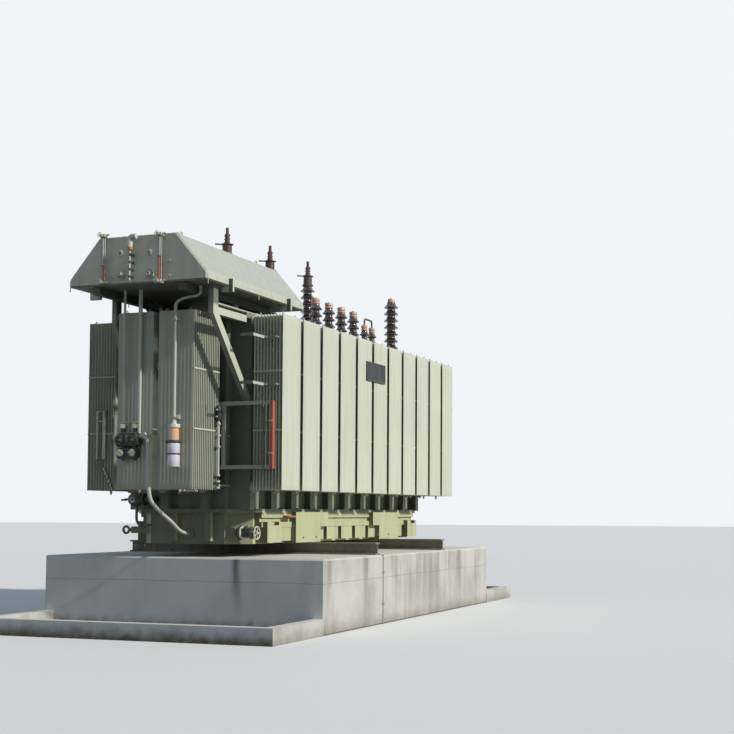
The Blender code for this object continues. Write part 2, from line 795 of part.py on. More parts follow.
def make_hv_bushings():
    sheds_bottom = HV_TURRET_HEIGHT
    sheds_top = sheds_bottom + HV_SHEDS * HV_SHED_PITCH
    cap_top = sheds_top + HV_CAP_HEIGHT
    disc_top = cap_top + HV_DISC
    top = disc_top + HV_TERMINAL_HEIGHT
    profile = [
        (0, top), (HV_TERMINAL_RADIUS, top), (HV_TERMINAL_RADIUS, disc_top),
        (HV_DISC_RADIUS, disc_top), (HV_DISC_RADIUS, cap_top), (HV_CAP_RADIUS, cap_top),
        (HV_CAP_RADIUS, sheds_top)]
    profile += shed_profile(sheds_top, HV_SHEDS, HV_SHED_PITCH, HV_CORE_RADIUS, HV_SHED_RADIUS)
    profile += [
        (HV_FLANGE_RADIUS, sheds_bottom), (HV_FLANGE_RADIUS, sheds_bottom - HV_FLANGE),
        (HV_TURRET_RADIUS, sheds_bottom - HV_FLANGE), (HV_TURRET_RADIUS, HV_FLANGE),
        (HV_FLANGE_RADIUS, HV_FLANGE), (HV_FLANGE_RADIUS, 0), (0, 0)]
    data = profile_mesh("hv_bushing", profile)
    for index in range(HV_COUNT):
        location = (
            conservator_far + HV_START + index * HV_SPACING, tank_half_width - HV_INSET,
            cover_top + GAP)
        turn_on_lathe(place(f"hv_bushing_{index + 1}", data, porcelain, location))


def make_mv_bushings():
    sheds_bottom = MV_FOOT + MV_NECK_HEIGHT
    sheds_top = sheds_bottom + MV_SHEDS * MV_SHED_PITCH
    top = sheds_top + MV_CAP_HEIGHT
    profile = [(0, top), (MV_CAP_RADIUS, top), (MV_CAP_RADIUS, sheds_top)]
    profile += shed_profile(sheds_top, MV_SHEDS, MV_SHED_PITCH, MV_CORE_RADIUS, MV_SHED_RADIUS)
    profile += [
        (MV_NECK_RADIUS, sheds_bottom), (MV_NECK_RADIUS, MV_FOOT), (MV_FOOT_RADIUS, MV_FOOT),
        (MV_FOOT_RADIUS, 0), (0, 0)]
    data = profile_mesh("mv_bushing", profile)
    for index in range(MV_COUNT):
        x = MV_CENTRE + (index - (MV_COUNT - 1) / 2) * MV_SPACING
        turn_on_lathe(place(f"mv_bushing_{index + 1}", data, porcelain, (x, mv_row, cover_top + GAP)))


def tertiary_profile():
    sheds_bottom = TERTIARY_FOOT
    sheds_top = sheds_bottom + TERTIARY_SHEDS * TERTIARY_SHED_PITCH
    top = sheds_top + TERTIARY_CAP_HEIGHT
    profile = [(0, top), (TERTIARY_CAP_RADIUS, top), (TERTIARY_CAP_RADIUS, sheds_top)]
    profile += shed_profile(sheds_top, TERTIARY_SHEDS, TERTIARY_SHED_PITCH, TERTIARY_CORE_RADIUS,
                            TERTIARY_SHED_RADIUS)
    profile += [(TERTIARY_FOOT_RADIUS, sheds_bottom), (TERTIARY_FOOT_RADIUS, 0), (0, 0)]
    return profile, top


def make_tertiary_bushings():
    """Two small bushings, joined by the bent bar between their caps."""
    profile, top = tertiary_profile()
    half = TERTIARY_SPACING / 2
    first = turned_mesh("tertiary_first", profile)
    second = moved(turned_mesh("tertiary_second", profile), (2 * half, 0, 0))
    pair = place("tertiary_bushings", first, porcelain,
                 (TERTIARY_CENTRE - half, mv_row, cover_top + GAP))
    corners = [(0, 0, top - FUSE), (0, 0, top + LINK_RISE), (2 * half, 0, top + LINK_RISE),
               (2 * half, 0, top - FUSE)]
    combine(pair, "UNION", tube_mesh("link", corners, LINK_RADIUS))
    combine(pair, "UNION", second)


def make_neutral_bushing():
    sheds_bottom = NEUTRAL_FOOT + NEUTRAL_NECK_HEIGHT
    sheds_top = sheds_bottom + NEUTRAL_SHEDS * NEUTRAL_SHED_PITCH
    top = sheds_top + NEUTRAL_CAP_HEIGHT
    profile = [(0, top), (NEUTRAL_CAP_RADIUS, top), (NEUTRAL_CAP_RADIUS, sheds_top)]
    profile += shed_profile(sheds_top, NEUTRAL_SHEDS, NEUTRAL_SHED_PITCH, NEUTRAL_CORE_RADIUS,
                            NEUTRAL_SHED_RADIUS)
    profile += [
        (NEUTRAL_NECK_RADIUS, sheds_bottom), (NEUTRAL_NECK_RADIUS, NEUTRAL_FOOT),
        (NEUTRAL_FOOT_RADIUS, NEUTRAL_FOOT), (NEUTRAL_FOOT_RADIUS, 0), (0, 0)]
    location = (NEUTRAL_PLACE, NEUTRAL_INSET - tank_half_width, cover_top + GAP)
    turn_on_lathe(place("neutral_bushing", profile_mesh("neutral_bushing", profile), porcelain, location))


def make_breather():
    pipe_x = -(end_face + PIPE_STANDOFF)
    pipe_start = -(cradle_spread + BREATHER_PIPE_OFFSET)
    crossing = radiator_top + BREATHER_PIPE_CROSSING
    top = radiator_top - BREATHER_DROP
    corners = [
        (pipe_x, pipe_start, conservator_bottom - GAP),
        (pipe_x, pipe_start, crossing),
        (pipe_x, BREATHER_SIDE, crossing),
        (pipe_x, BREATHER_SIDE, top - FUSE)]
    breather = place("breather", tube_mesh("breather", corners, BREATHER_PIPE_RADIUS), fitting_paint)
    glass_bottom = BREATHER_RING - BREATHER_HEIGHT
    middle = -BREATHER_NECK - (BREATHER_HEIGHT - BREATHER_NECK) / 2
    profile = [
        (0, 0), (BREATHER_NECK_RADIUS, 0), (BREATHER_NECK_RADIUS, -BREATHER_NECK),
        (BREATHER_RADIUS, -BREATHER_NECK), (BREATHER_RADIUS, middle + BREATHER_RING),
        (BREATHER_GLASS_RADIUS, middle), (BREATHER_GLASS_RADIUS, glass_bottom),
        (BREATHER_RADIUS, glass_bottom), (BREATHER_RADIUS, -BREATHER_HEIGHT), (0, -BREATHER_HEIGHT)]
    body = moved(turned_mesh("breather_body", profile), (pipe_x, BREATHER_SIDE, top))
    combine(breather, "UNION", body)
    clamps = []
    for drop in CLAMP_DROPS:
        z = radiator_top - drop
        clamps.append((
            (pipe_x, BREATHER_SIDE - CLAMP_SIZE / 2, z - CLAMP_SIZE / 2),
            (-end_face - GAP, BREATHER_SIDE + CLAMP_SIZE / 2, z + CLAMP_SIZE / 2)))
    combine(breather, "UNION", blocks("clamps", clamps))


def make_manifold():
    front = -(end_face + GAP)
    pipe_x = -(end_face + PIPE_STANDOFF - BREATHER_PIPE_RADIUS)
    top = radiator_top - MANIFOLD_DROP
    bottom = top - MANIFOLD_HEIGHT
    half = MANIFOLD_WIDTH / 2
    body = ((front - MANIFOLD_DEPTH, MANIFOLD_SIDE - half, bottom), (front, MANIFOLD_SIDE + half, top))
    tools = []
    for name, y, radius in (
            ("fill_pipe", FILL_PIPE_SIDE, FILL_PIPE_RADIUS), ("vent_pipe", VENT_PIPE_SIDE, VENT_PIPE_RADIUS)):
        corners = [(pipe_x, y, top - FUSE), (pipe_x, y, conservator_bottom - GAP)]
        tools.append(tube_mesh(name, corners, radius))
    for side in (-1, 1):
        y = MANIFOLD_SIDE + side * COCK_SPACING / 2
        centre = (front - MANIFOLD_DEPTH / 2, y, bottom - COCK_LENGTH / 2 + FUSE)
        tools.append(cylinder("cock", centre, COCK_RADIUS, COCK_LENGTH))
    box_with("oil_manifold", body, "UNION", fitting_paint, tools)


def make_relay():
    start = -(tank_half_length - RELAY_PIPE_INSET)
    stop = -(tank_half_length + RELAY_PIPE_REACH)
    side = cradle_spread - RELAY_SIDE
    level = (cover_top + conservator_bottom) / 2
    corners = [
        (start, side, cover_top + GAP), (start, side, level), (stop, side, level),
        (stop, side, conservator_bottom - GAP)]
    relay = place("gas_relay", tube_mesh("gas_relay", corners, RELAY_PIPE_RADIUS), relay_paint)
    middle = (start + stop) / 2
    housing = (
        (middle - RELAY_LENGTH / 2, side - RELAY_WIDTH / 2, level - RELAY_HEIGHT / 2),
        (middle + RELAY_LENGTH / 2, side + RELAY_WIDTH / 2, level + RELAY_HEIGHT / 2))
    combine(relay, "UNION", blocks("relay_housing", [housing]))


def make_conduit_frame():
    back = -(tank_half_length + FRAME_STANDOFF)
    front = back - FRAME_DEPTH
    bottom = joint_level + FRAME_RISE
    near = -((END_RADIATOR_PITCH + PANEL_WIDTH) / 2 + FRAME_OFFSET)
    far = near - FRAME_WIDTH
    outer = ((front, far, bottom), (back, near, bottom + FRAME_HEIGHT))
    hole = (
        (front - OVERRUN, far + FRAME_BAR, bottom + FRAME_BAR),
        (back + OVERRUN, near - FRAME_BAR, bottom + FRAME_HEIGHT - FRAME_BAR))
    frame = box_with("conduit_frame", outer, "DIFFERENCE", steel, [blocks("frame_hole", [hole])])
    lugs = []
    for z in (bottom, bottom + FRAME_HEIGHT - FRAME_BAR):
        lugs.append((
            (back - FUSE, near - FRAME_BAR, z),
            (-tank_half_length - GAP, FRAME_LAP - end_wall_half, z + FRAME_BAR)))
    combine(frame, "UNION", blocks("frame_lugs", lugs))


def make_drain_valve():
    """A flanged valve turned about the pipe's axis, which points out of the boss."""
    flange = VALVE_NECK + VALVE_FLANGE
    body = flange + VALVE_BODY
    profile = [
        (0, body + VALVE_WHEEL), (VALVE_WHEEL_RADIUS, body + VALVE_WHEEL),
        (VALVE_WHEEL_RADIUS, body), (VALVE_BODY_RADIUS, body), (VALVE_BODY_RADIUS, flange),
        (VALVE_FLANGE_RADIUS, flange), (VALVE_FLANGE_RADIUS, VALVE_NECK),
        (VALVE_NECK_RADIUS, VALVE_NECK), (VALVE_NECK_RADIUS, 0), (0, 0)]
    location = (
        VALVE_INSET - tank_half_length, -end_wall_half - BOSS_REACH - GAP,
        trough_bottom + VALVE_RISE)
    valve = place("drain_valve", profile_mesh("drain_valve", profile), relay_paint, location)
    valve.rotation_euler = (math.pi / 2, 0, 0)
    turn_on_lathe(valve)


make_plinth()
make_beams()
make_trough()
make_bell()
make_cover()
make_radiators()
make_conservator()
make_hv_bushings()
make_mv_bushings()
make_tertiary_bushings()
make_neutral_bushing()
make_breather()
make_manifold()
make_relay()
make_conduit_frame()
make_drain_valve()
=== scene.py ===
# Power transformer on its plinth: finishes, fittings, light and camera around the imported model.

import json
import math

import bmesh
import bpy
from mathutils import Matrix, Vector

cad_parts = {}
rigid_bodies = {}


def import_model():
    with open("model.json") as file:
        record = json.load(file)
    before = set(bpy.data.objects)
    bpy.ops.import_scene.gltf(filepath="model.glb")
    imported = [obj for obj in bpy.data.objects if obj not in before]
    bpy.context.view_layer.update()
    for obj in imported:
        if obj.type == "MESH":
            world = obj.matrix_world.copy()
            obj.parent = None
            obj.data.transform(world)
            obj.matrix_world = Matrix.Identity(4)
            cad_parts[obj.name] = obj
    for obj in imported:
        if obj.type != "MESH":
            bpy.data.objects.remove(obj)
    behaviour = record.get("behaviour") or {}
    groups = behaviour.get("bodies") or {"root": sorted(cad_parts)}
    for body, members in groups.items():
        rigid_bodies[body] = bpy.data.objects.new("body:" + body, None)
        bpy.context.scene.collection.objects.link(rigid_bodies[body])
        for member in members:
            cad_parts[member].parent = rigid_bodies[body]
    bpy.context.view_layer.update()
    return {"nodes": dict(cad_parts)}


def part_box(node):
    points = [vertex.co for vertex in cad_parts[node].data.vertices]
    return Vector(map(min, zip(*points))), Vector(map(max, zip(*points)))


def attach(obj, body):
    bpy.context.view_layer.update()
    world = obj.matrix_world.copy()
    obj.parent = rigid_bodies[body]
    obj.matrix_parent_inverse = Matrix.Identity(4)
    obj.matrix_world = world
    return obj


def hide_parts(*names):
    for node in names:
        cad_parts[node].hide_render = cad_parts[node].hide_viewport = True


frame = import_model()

for leftOver in list(bpy.data.objects):
    if leftOver.type in {"CAMERA", "LIGHT"} or leftOver.name == "Cube":
        bpy.data.objects.remove(leftOver)


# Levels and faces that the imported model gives
gap = 0.0003            # clearance between neighbouring solids
flangeWidth = 0.09      # how far the bell's flange stands out from its wall
bellLow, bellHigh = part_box("tank_bell")
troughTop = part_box("tank_trough")[1].z
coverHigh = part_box("tank_cover")[1]
plinthLow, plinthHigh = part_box("plinth")
conservatorLow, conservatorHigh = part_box("conservator")
stackLow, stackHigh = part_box("near_radiator_1")
sideLow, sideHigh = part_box("right_radiator_01")
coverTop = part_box("mv_bushing_1")[0].z - gap
endFace = stackLow.x
sideFace = sideLow.y
endWall = bellLow.x + flangeWidth


# Shader and geometry nodes

class Wire:
    # One output socket: sums and products on it add the Math nodes
    def __init__(self, owner, socket):
        self.owner = owner
        self.socket = socket

    def maths(self, operation, first, second):
        return self.owner.add("ShaderNodeMath", {"operation": operation}, {0: first, 1: second})

    def __add__(self, other):
        return self.maths("ADD", self, other)

    def __sub__(self, other):
        return self.maths("SUBTRACT", self, other)

    def __mul__(self, other):
        return self.maths("MULTIPLY", self, other)

    def __rsub__(self, other):
        return self.maths("SUBTRACT", other, self)

    def __abs__(self):
        return self.owner.add("ShaderNodeMath", {"operation": "ABSOLUTE"}, {0: self})

    def larger(self, other):
        return self.maths("MAXIMUM", self, other)

    __radd__ = __add__
    __rmul__ = __mul__


class NodeTree:
    def __init__(self, tree):
        self.tree = tree

    def add(self, kind, settings=None, sockets=None, out=0):
        node = self.tree.nodes.new(kind)
        for key, value in (settings or {}).items():
            setattr(node, key, value)
        for key, value in (sockets or {}).items():
            self.feed(node.inputs[key], value)
        return Wire(self, node.outputs[out])

    def feed(self, socket, value):
        if isinstance(value, Wire):
            self.tree.links.new(value.socket, socket)
        else:
            socket.default_value = value


class Finish(NodeTree):
    def __init__(self, name):
        self.material = bpy.data.materials.new(name)
        self.material.use_nodes = True
        super().__init__(self.material.node_tree)
        self.shader = self.tree.nodes["Principled BSDF"]
        self.place = self.add("ShaderNodeTexCoord", out="Object")

    def stretched(self, scale):
        return self.add("ShaderNodeMapping", {}, {"Vector": self.place, "Scale": scale})

    def noise(self, scale, detail, stretch=(1, 1, 1)):
        return self.add("ShaderNodeTexNoise", {}, {
            "Vector": self.stretched(stretch), "Scale": scale, "Detail": detail, "Roughness": 0.55})

    def axis(self, name):
        return self.add("ShaderNodeSeparateXYZ", {}, {0: self.place}, out=name)

    def facing(self, name):
        return self.add("ShaderNodeSeparateXYZ", {}, {
            0: self.add("ShaderNodeNewGeometry", out="Normal")}, out=name)

    def ramp(self, value, nought, full):
        return self.add("ShaderNodeMapRange", {"interpolation_type": "SMOOTHSTEP"}, {
            "Value": value, "From Min": nought, "From Max": full, "To Min": 0.0, "To Max": 1.0})

    def mix(self, factor, first, second):
        return self.add("ShaderNodeMix", {"data_type": "RGBA"}, {0: factor, 6: first, 7: second}, out=2)

    def bump(self, height, strength, distance):
        return self.add("ShaderNodeBump", {}, {
            "Height": height, "Strength": strength, "Distance": distance})

    def give(self, **sockets):
        for key, value in sockets.items():
            self.feed(self.shader.inputs[key.replace("_", " ")], value)
        return self.material


def colour(red, green, blue):
    def linear(part):
        part = part / 255
        return part / 12.92 if part <= 0.04045 else ((part + 0.055) / 1.055) ** 2.4
    return (linear(red), linear(green), linear(blue), 1)


def darker(shade, share):
    return tuple(part * share for part in shade[:3]) + (1,)


# Finishes

paintLook = dict(
    mottle=0.7, fade=0.5, fadeTone=0.86, streak=9.0, streakTone=0.58, speck=34.0, speckTone=0.45,
    rustScale=5.5, rustGrain=60, rustStart=0.80, rustFull=0.86, rust=colour(112, 70, 44),
    dustTone=0.62, dust=colour(150, 158, 162), belowShadeTone=0.12, maskTone=0.15,
    grain=420.0, relief=0.12, grainDepth=0.0006)


def paint(name, shade, roughness, grime, rust=0.0, dust=0.3, belowShade=0.5, mask=None):
    # faded and streaked, with dust on what faces up, and painted shade on what faces down and where a mask
    # says
    look = paintLook
    finish = Finish(name)
    cloud = finish.ramp(finish.noise(look["mottle"], 5), 0.3, 0.7)
    run = finish.ramp(finish.noise(look["streak"], 4, (1, 1, 0.05)), 0.42, 0.74)
    speck = finish.ramp(finish.noise(look["speck"], 5), 0.6, 0.76)
    faded = finish.mix(cloud * look["fade"], shade, darker(shade, look["fadeTone"]))
    dirty = finish.mix(run * grime, faded, darker(shade, look["streakTone"]))
    spotted = finish.mix(speck * grime * 0.5, dirty, darker(shade, look["speckTone"]))
    patches = finish.noise(look["rustScale"], 6) + finish.noise(look["rustGrain"], 2) * 0.25
    eaten = finish.ramp(patches, look["rustStart"], look["rustFull"])
    rusty = finish.mix(eaten * rust, spotted, look["rust"])
    fine = finish.noise(look["grain"], 2)
    upward = finish.ramp(finish.facing("Z"), 0.15, 0.6)
    film = finish.mix(0.5, darker(shade, look["dustTone"]), look["dust"])
    settled = finish.mix(upward * dust, rusty, film)
    # painted shade: what faces down is darkened towards a near-black tone of the paint
    downward = finish.ramp(finish.facing("Z"), -0.4, -0.8)
    shadedColour = finish.mix(downward * belowShade, settled, darker(shade, look["belowShadeTone"]))
    if mask:
        shadedColour = finish.mix(mask(finish), shadedColour, darker(shade, look["maskTone"]))
    return finish.give(
        Base_Color=shadedColour,
        Roughness=roughness + run * 0.14 + speck * 0.1,
        Normal=finish.bump(fine + cloud * 2, look["relief"], look["grainDepth"]))


# Masks of painted shade: on what faces the near end, on the near faces of the conservator's lugs and high on
# the arms
shadeLook = dict(
    start=-0.35, full=-0.8, lugStart=-0.5, lugFull=-0.9, edge=0.001, lugSide=-1.0005, lugSoft=0.0015,
    postLow=0.01, postHigh=0.05, postShare=0.85, postEndShare=0.65)


# painted shade on what faces the near end
def nearEndShade(share):
    return lambda finish: finish.ramp(finish.facing("X"), shadeLook["start"], shadeLook["full"]) * share


# painted shade on the near faces of the conservator's lugs
def lugShade(finish):
    look = shadeLook
    level = conservatorLow.z
    below = finish.ramp(finish.axis("Z"), level + look["edge"], level - look["edge"])
    beyond = finish.ramp(finish.axis("Y"), look["lugSide"], look["lugSide"] - look["lugSoft"])
    return finish.ramp(finish.facing("X"), look["lugStart"], look["lugFull"]) * below.larger(beyond)


# painted shade high on the struts' posts under the conservator, and on what faces the near end
def postShade(finish):
    look = shadeLook
    high = finish.ramp(finish.axis("Z"), bellHigh.z + look["postLow"], bellHigh.z + look["postHigh"])
    return (high * look["postShare"]).larger(nearEndShade(look["postEndShare"])(finish))


concreteLook = dict(
    stone=colour(206, 204, 197), litFront=colour(238, 239, 236), worn=colour(160, 157, 147),
    stain=colour(122, 120, 108), earth=colour(98, 88, 66), moss=colour(70, 78, 58),
    joint=colour(110, 108, 98), arrisHighlight=colour(232, 230, 222), paleTop=colour(224, 220, 208),
    pit=colour(120, 118, 108), stainLow=0.1, footHigh=0.30, footLow=0.06, mossPlace=-0.777,
    mossWidth=0.10, pourLine=0.66, pourWidth=0.012, arrisLow=0.944, arrisHigh=0.956)


def concrete():
    # cast stone with stains that run down, an earthy foot and a mossy streak; painted light makes the face
    # towards the near end paler and puts a pale line along its top arris, and what faces up is made paler
    look = concreteLook
    finish = Finish("castConcrete")
    z = finish.axis("Z")
    cloud = finish.ramp(finish.noise(1.3, 6), 0.35, 0.68)
    runs = finish.ramp(finish.noise(5, 5, (1, 1, 0.10)), 0.44, 0.72)
    topDown = finish.ramp(z, look["stainLow"], plinthHigh.z)
    front = finish.ramp(finish.facing("X"), -0.5, -0.9)
    # painted light: the face towards the near end is made much paler, with less wear and fewer stains,
    # standing in for light on it
    litFront = finish.mix(front * 0.9, look["stone"], look["litFront"])
    base = finish.mix(cloud * (0.55 - front * 0.35), litFront, look["worn"])
    stained = finish.mix(runs * (0.25 + topDown * 0.5) * (1 - front * 0.8), base, look["stain"])
    foot = finish.ramp(z + finish.noise(6, 4) * 0.18, look["footHigh"], look["footLow"])
    footed = finish.mix(foot * (0.5 + front * 0.5), stained, look["earth"])
    wobble = finish.noise(4, 4, (1, 1, 0.4)) * 0.16
    away = abs(finish.axis("Y") + wobble - look["mossPlace"])
    band = finish.ramp(away, look["mossWidth"], 0.0)
    streaked = finish.mix(band * front * topDown * 0.8, footed, look["moss"])
    pour = abs(z - look["pourLine"] + finish.noise(2.5, 3) * 0.03)
    line = finish.ramp(pour, look["pourWidth"], 0.0)
    lined = finish.mix(line * 0.25, streaked, look["joint"])
    # painted highlight: a pale line along the top of the face towards the near end, standing in for the
    # sunlit top edge
    arrisHighlight = finish.ramp(z + finish.noise(9, 3) * 0.008, look["arrisLow"], look["arrisHigh"]) * front
    edged = finish.mix(arrisHighlight * 0.9, lined, look["arrisHighlight"])
    pits = finish.ramp(finish.noise(48, 3), 0.62, 0.75)
    # what faces up is made paler
    level = finish.ramp(finish.facing("Z"), 0.5, 0.9)
    paleTop = finish.mix(level * 0.7, edged, look["paleTop"])
    pitted = finish.mix(pits * 0.35, paleTop, look["pit"])
    grain = finish.noise(170, 4)
    return finish.give(
        Base_Color=pitted,
        Roughness=0.94,
        Normal=finish.bump(grain - pits * 1.2 - line * 2, 0.5, 0.003))


glazeLook = dict(cloud=7, dustTone=colour(96, 84, 80), coat=0.6)


def glaze(name, shade, spot):
    finish = Finish(name)
    cloud = finish.ramp(finish.noise(glazeLook["cloud"], 4), 0.35, 0.7)
    dust = finish.ramp(finish.facing("Z"), 0.1, 0.9)
    base = finish.mix(cloud * 0.6, shade, spot)
    return finish.give(
        Base_Color=finish.mix(dust * 0.10, base, glazeLook["dustTone"]),
        Roughness=0.16 + dust * 0.25 + cloud * 0.05,
        Coat_Weight=glazeLook["coat"],
        Normal=finish.bump(cloud, 0.08, 0.001))


metalLook = dict(cloud=16, spots=0.3, spotTone=0.5, scratch=240)


def bareMetal(name, shade, roughness, metallic):
    finish = Finish(name)
    cloud = finish.ramp(finish.noise(metalLook["cloud"], 5), 0.35, 0.7)
    scratch = finish.noise(metalLook["scratch"], 2, (1, 1, 0.1))
    return finish.give(
        Base_Color=finish.mix(cloud * metalLook["spots"], shade, darker(shade, metalLook["spotTone"])),
        Roughness=roughness + cloud * 0.18,
        Metallic=metallic,
        Normal=finish.bump(scratch, 0.1, 0.0004))


glassLook = dict(grains=150, roughness=0.08, coat=0.8)


def glassy(name, shade, spot):
    finish = Finish(name)
    grains = finish.add("ShaderNodeTexVoronoi", {}, {"Vector": finish.place, "Scale": glassLook["grains"]})
    cloud = finish.ramp(grains, 0.1, 0.7)
    return finish.give(
        Base_Color=finish.mix(cloud, shade, spot),
        Roughness=glassLook["roughness"],
        Coat_Weight=glassLook["coat"])


radiatorGreen = colour(207, 210, 190)
tankGreen = colour(132, 138, 116)
concreteFinish = concrete()
# the masks give these paints painted shade: on what faces the near end, on the lugs' near faces and high on
# the struts' posts
radiatorPaint = paint("radiatorPaint", radiatorGreen, 0.48, 0.26, 0.05, mask=nearEndShade(0.42))
conservatorPaint = paint(
    "conservatorPaint", colour(200, 203, 184), 0.5, 0.30, 0.08, dust=0.6, belowShade=0.95, mask=lugShade)
strutPaint = paint("strutPaint", colour(204, 207, 188), 0.5, 0.3, 0.08, mask=postShade)
tankPaint = paint("tankPaint", tankGreen, 0.55, 0.5, 0.12, mask=nearEndShade(0.6))
troughPaint = paint("troughPaint", colour(188, 191, 150), 0.55, 0.45, 0.2, mask=nearEndShade(0.88))
beamPaint = paint("beamPaint", colour(134, 128, 114), 0.65, 0.5, 0.4)
framePaint = paint("framePaint", colour(160, 166, 150), 0.55, 0.35, 0.1)
steelPaint = paint("bracketPaint", colour(118, 124, 104), 0.6, 0.5, 0.35)
# painted shade: the cradle beams under the conservator get a near-black paint for the shade there
cradlePaint = paint("cradlePaint", colour(62, 66, 54), 0.65, 0.6, 0.3)
palePaint = paint("palePipePaint", colour(196, 199, 184), 0.45, 0.35, 0.06)
whitePaint = paint("whiteFittingPaint", colour(214, 212, 200), 0.4, 0.3, 0.05)
darkPaint = paint("darkCastingPaint", colour(48, 52, 46), 0.5, 0.4, 0.2)
blackPaint = paint("blackPlatePaint", colour(34, 36, 38), 0.45, 0.3)
redOxide = paint("redOxidePrimer", colour(178, 98, 76), 0.7, 0.45, 0.3)
orangePaint = paint("orangeCollarPaint", colour(206, 118, 52), 0.5, 0.25)
zinc = bareMetal("zincBolts", colour(150, 152, 148), 0.5, 0.7)
darkZinc = bareMetal("weatheredBolts", colour(104, 104, 96), 0.6, 0.5)
brass = bareMetal("dullBrass", colour(196, 190, 160), 0.4, 0.4)
capMetal = bareMetal("tanCapMetal", colour(204, 174, 156), 0.5, 0.1)
porcelain = glaze("brownPorcelain", colour(40, 25, 24), colour(30, 19, 20))
capPaint = paint("maroonCapPaint", colour(78, 52, 48), 0.45, 0.5, 0.2)
oilGlass = glassy("gaugeGlass", colour(150, 158, 160), colour(178, 184, 186))
redOil = glassy("gaugeOil", colour(150, 50, 42), colour(186, 82, 52))
silica = glassy("silicaGel", colour(196, 186, 208), colour(226, 220, 232))
amber = glassy("amberGlass", colour(214, 166, 116), colour(228, 186, 140))
print("finishes ready")


# Making meshes

def aimed(origin, direction):
    turn = Vector(direction).to_track_quat("Z", "Y").to_matrix().to_4x4()
    return Matrix.Translation(origin) @ turn


def bent(points, radius, steps=6):
    # the route with each inner corner rounded
    points = [Vector(point) for point in points]
    route = [points[0]]
    for before, corner, after in zip(points, points[1:], points[2:]):
        reach = min(radius, (before - corner).length / 2, (after - corner).length / 2)
        start = corner + (before - corner).normalized() * reach
        end = corner + (after - corner).normalized() * reach
        for step in range(steps + 1):
            share = step / steps
            route.append(start * (1 - share) ** 2 + corner * 2 * share * (1 - share) + end * share ** 2)
    route.append(points[-1])
    return route


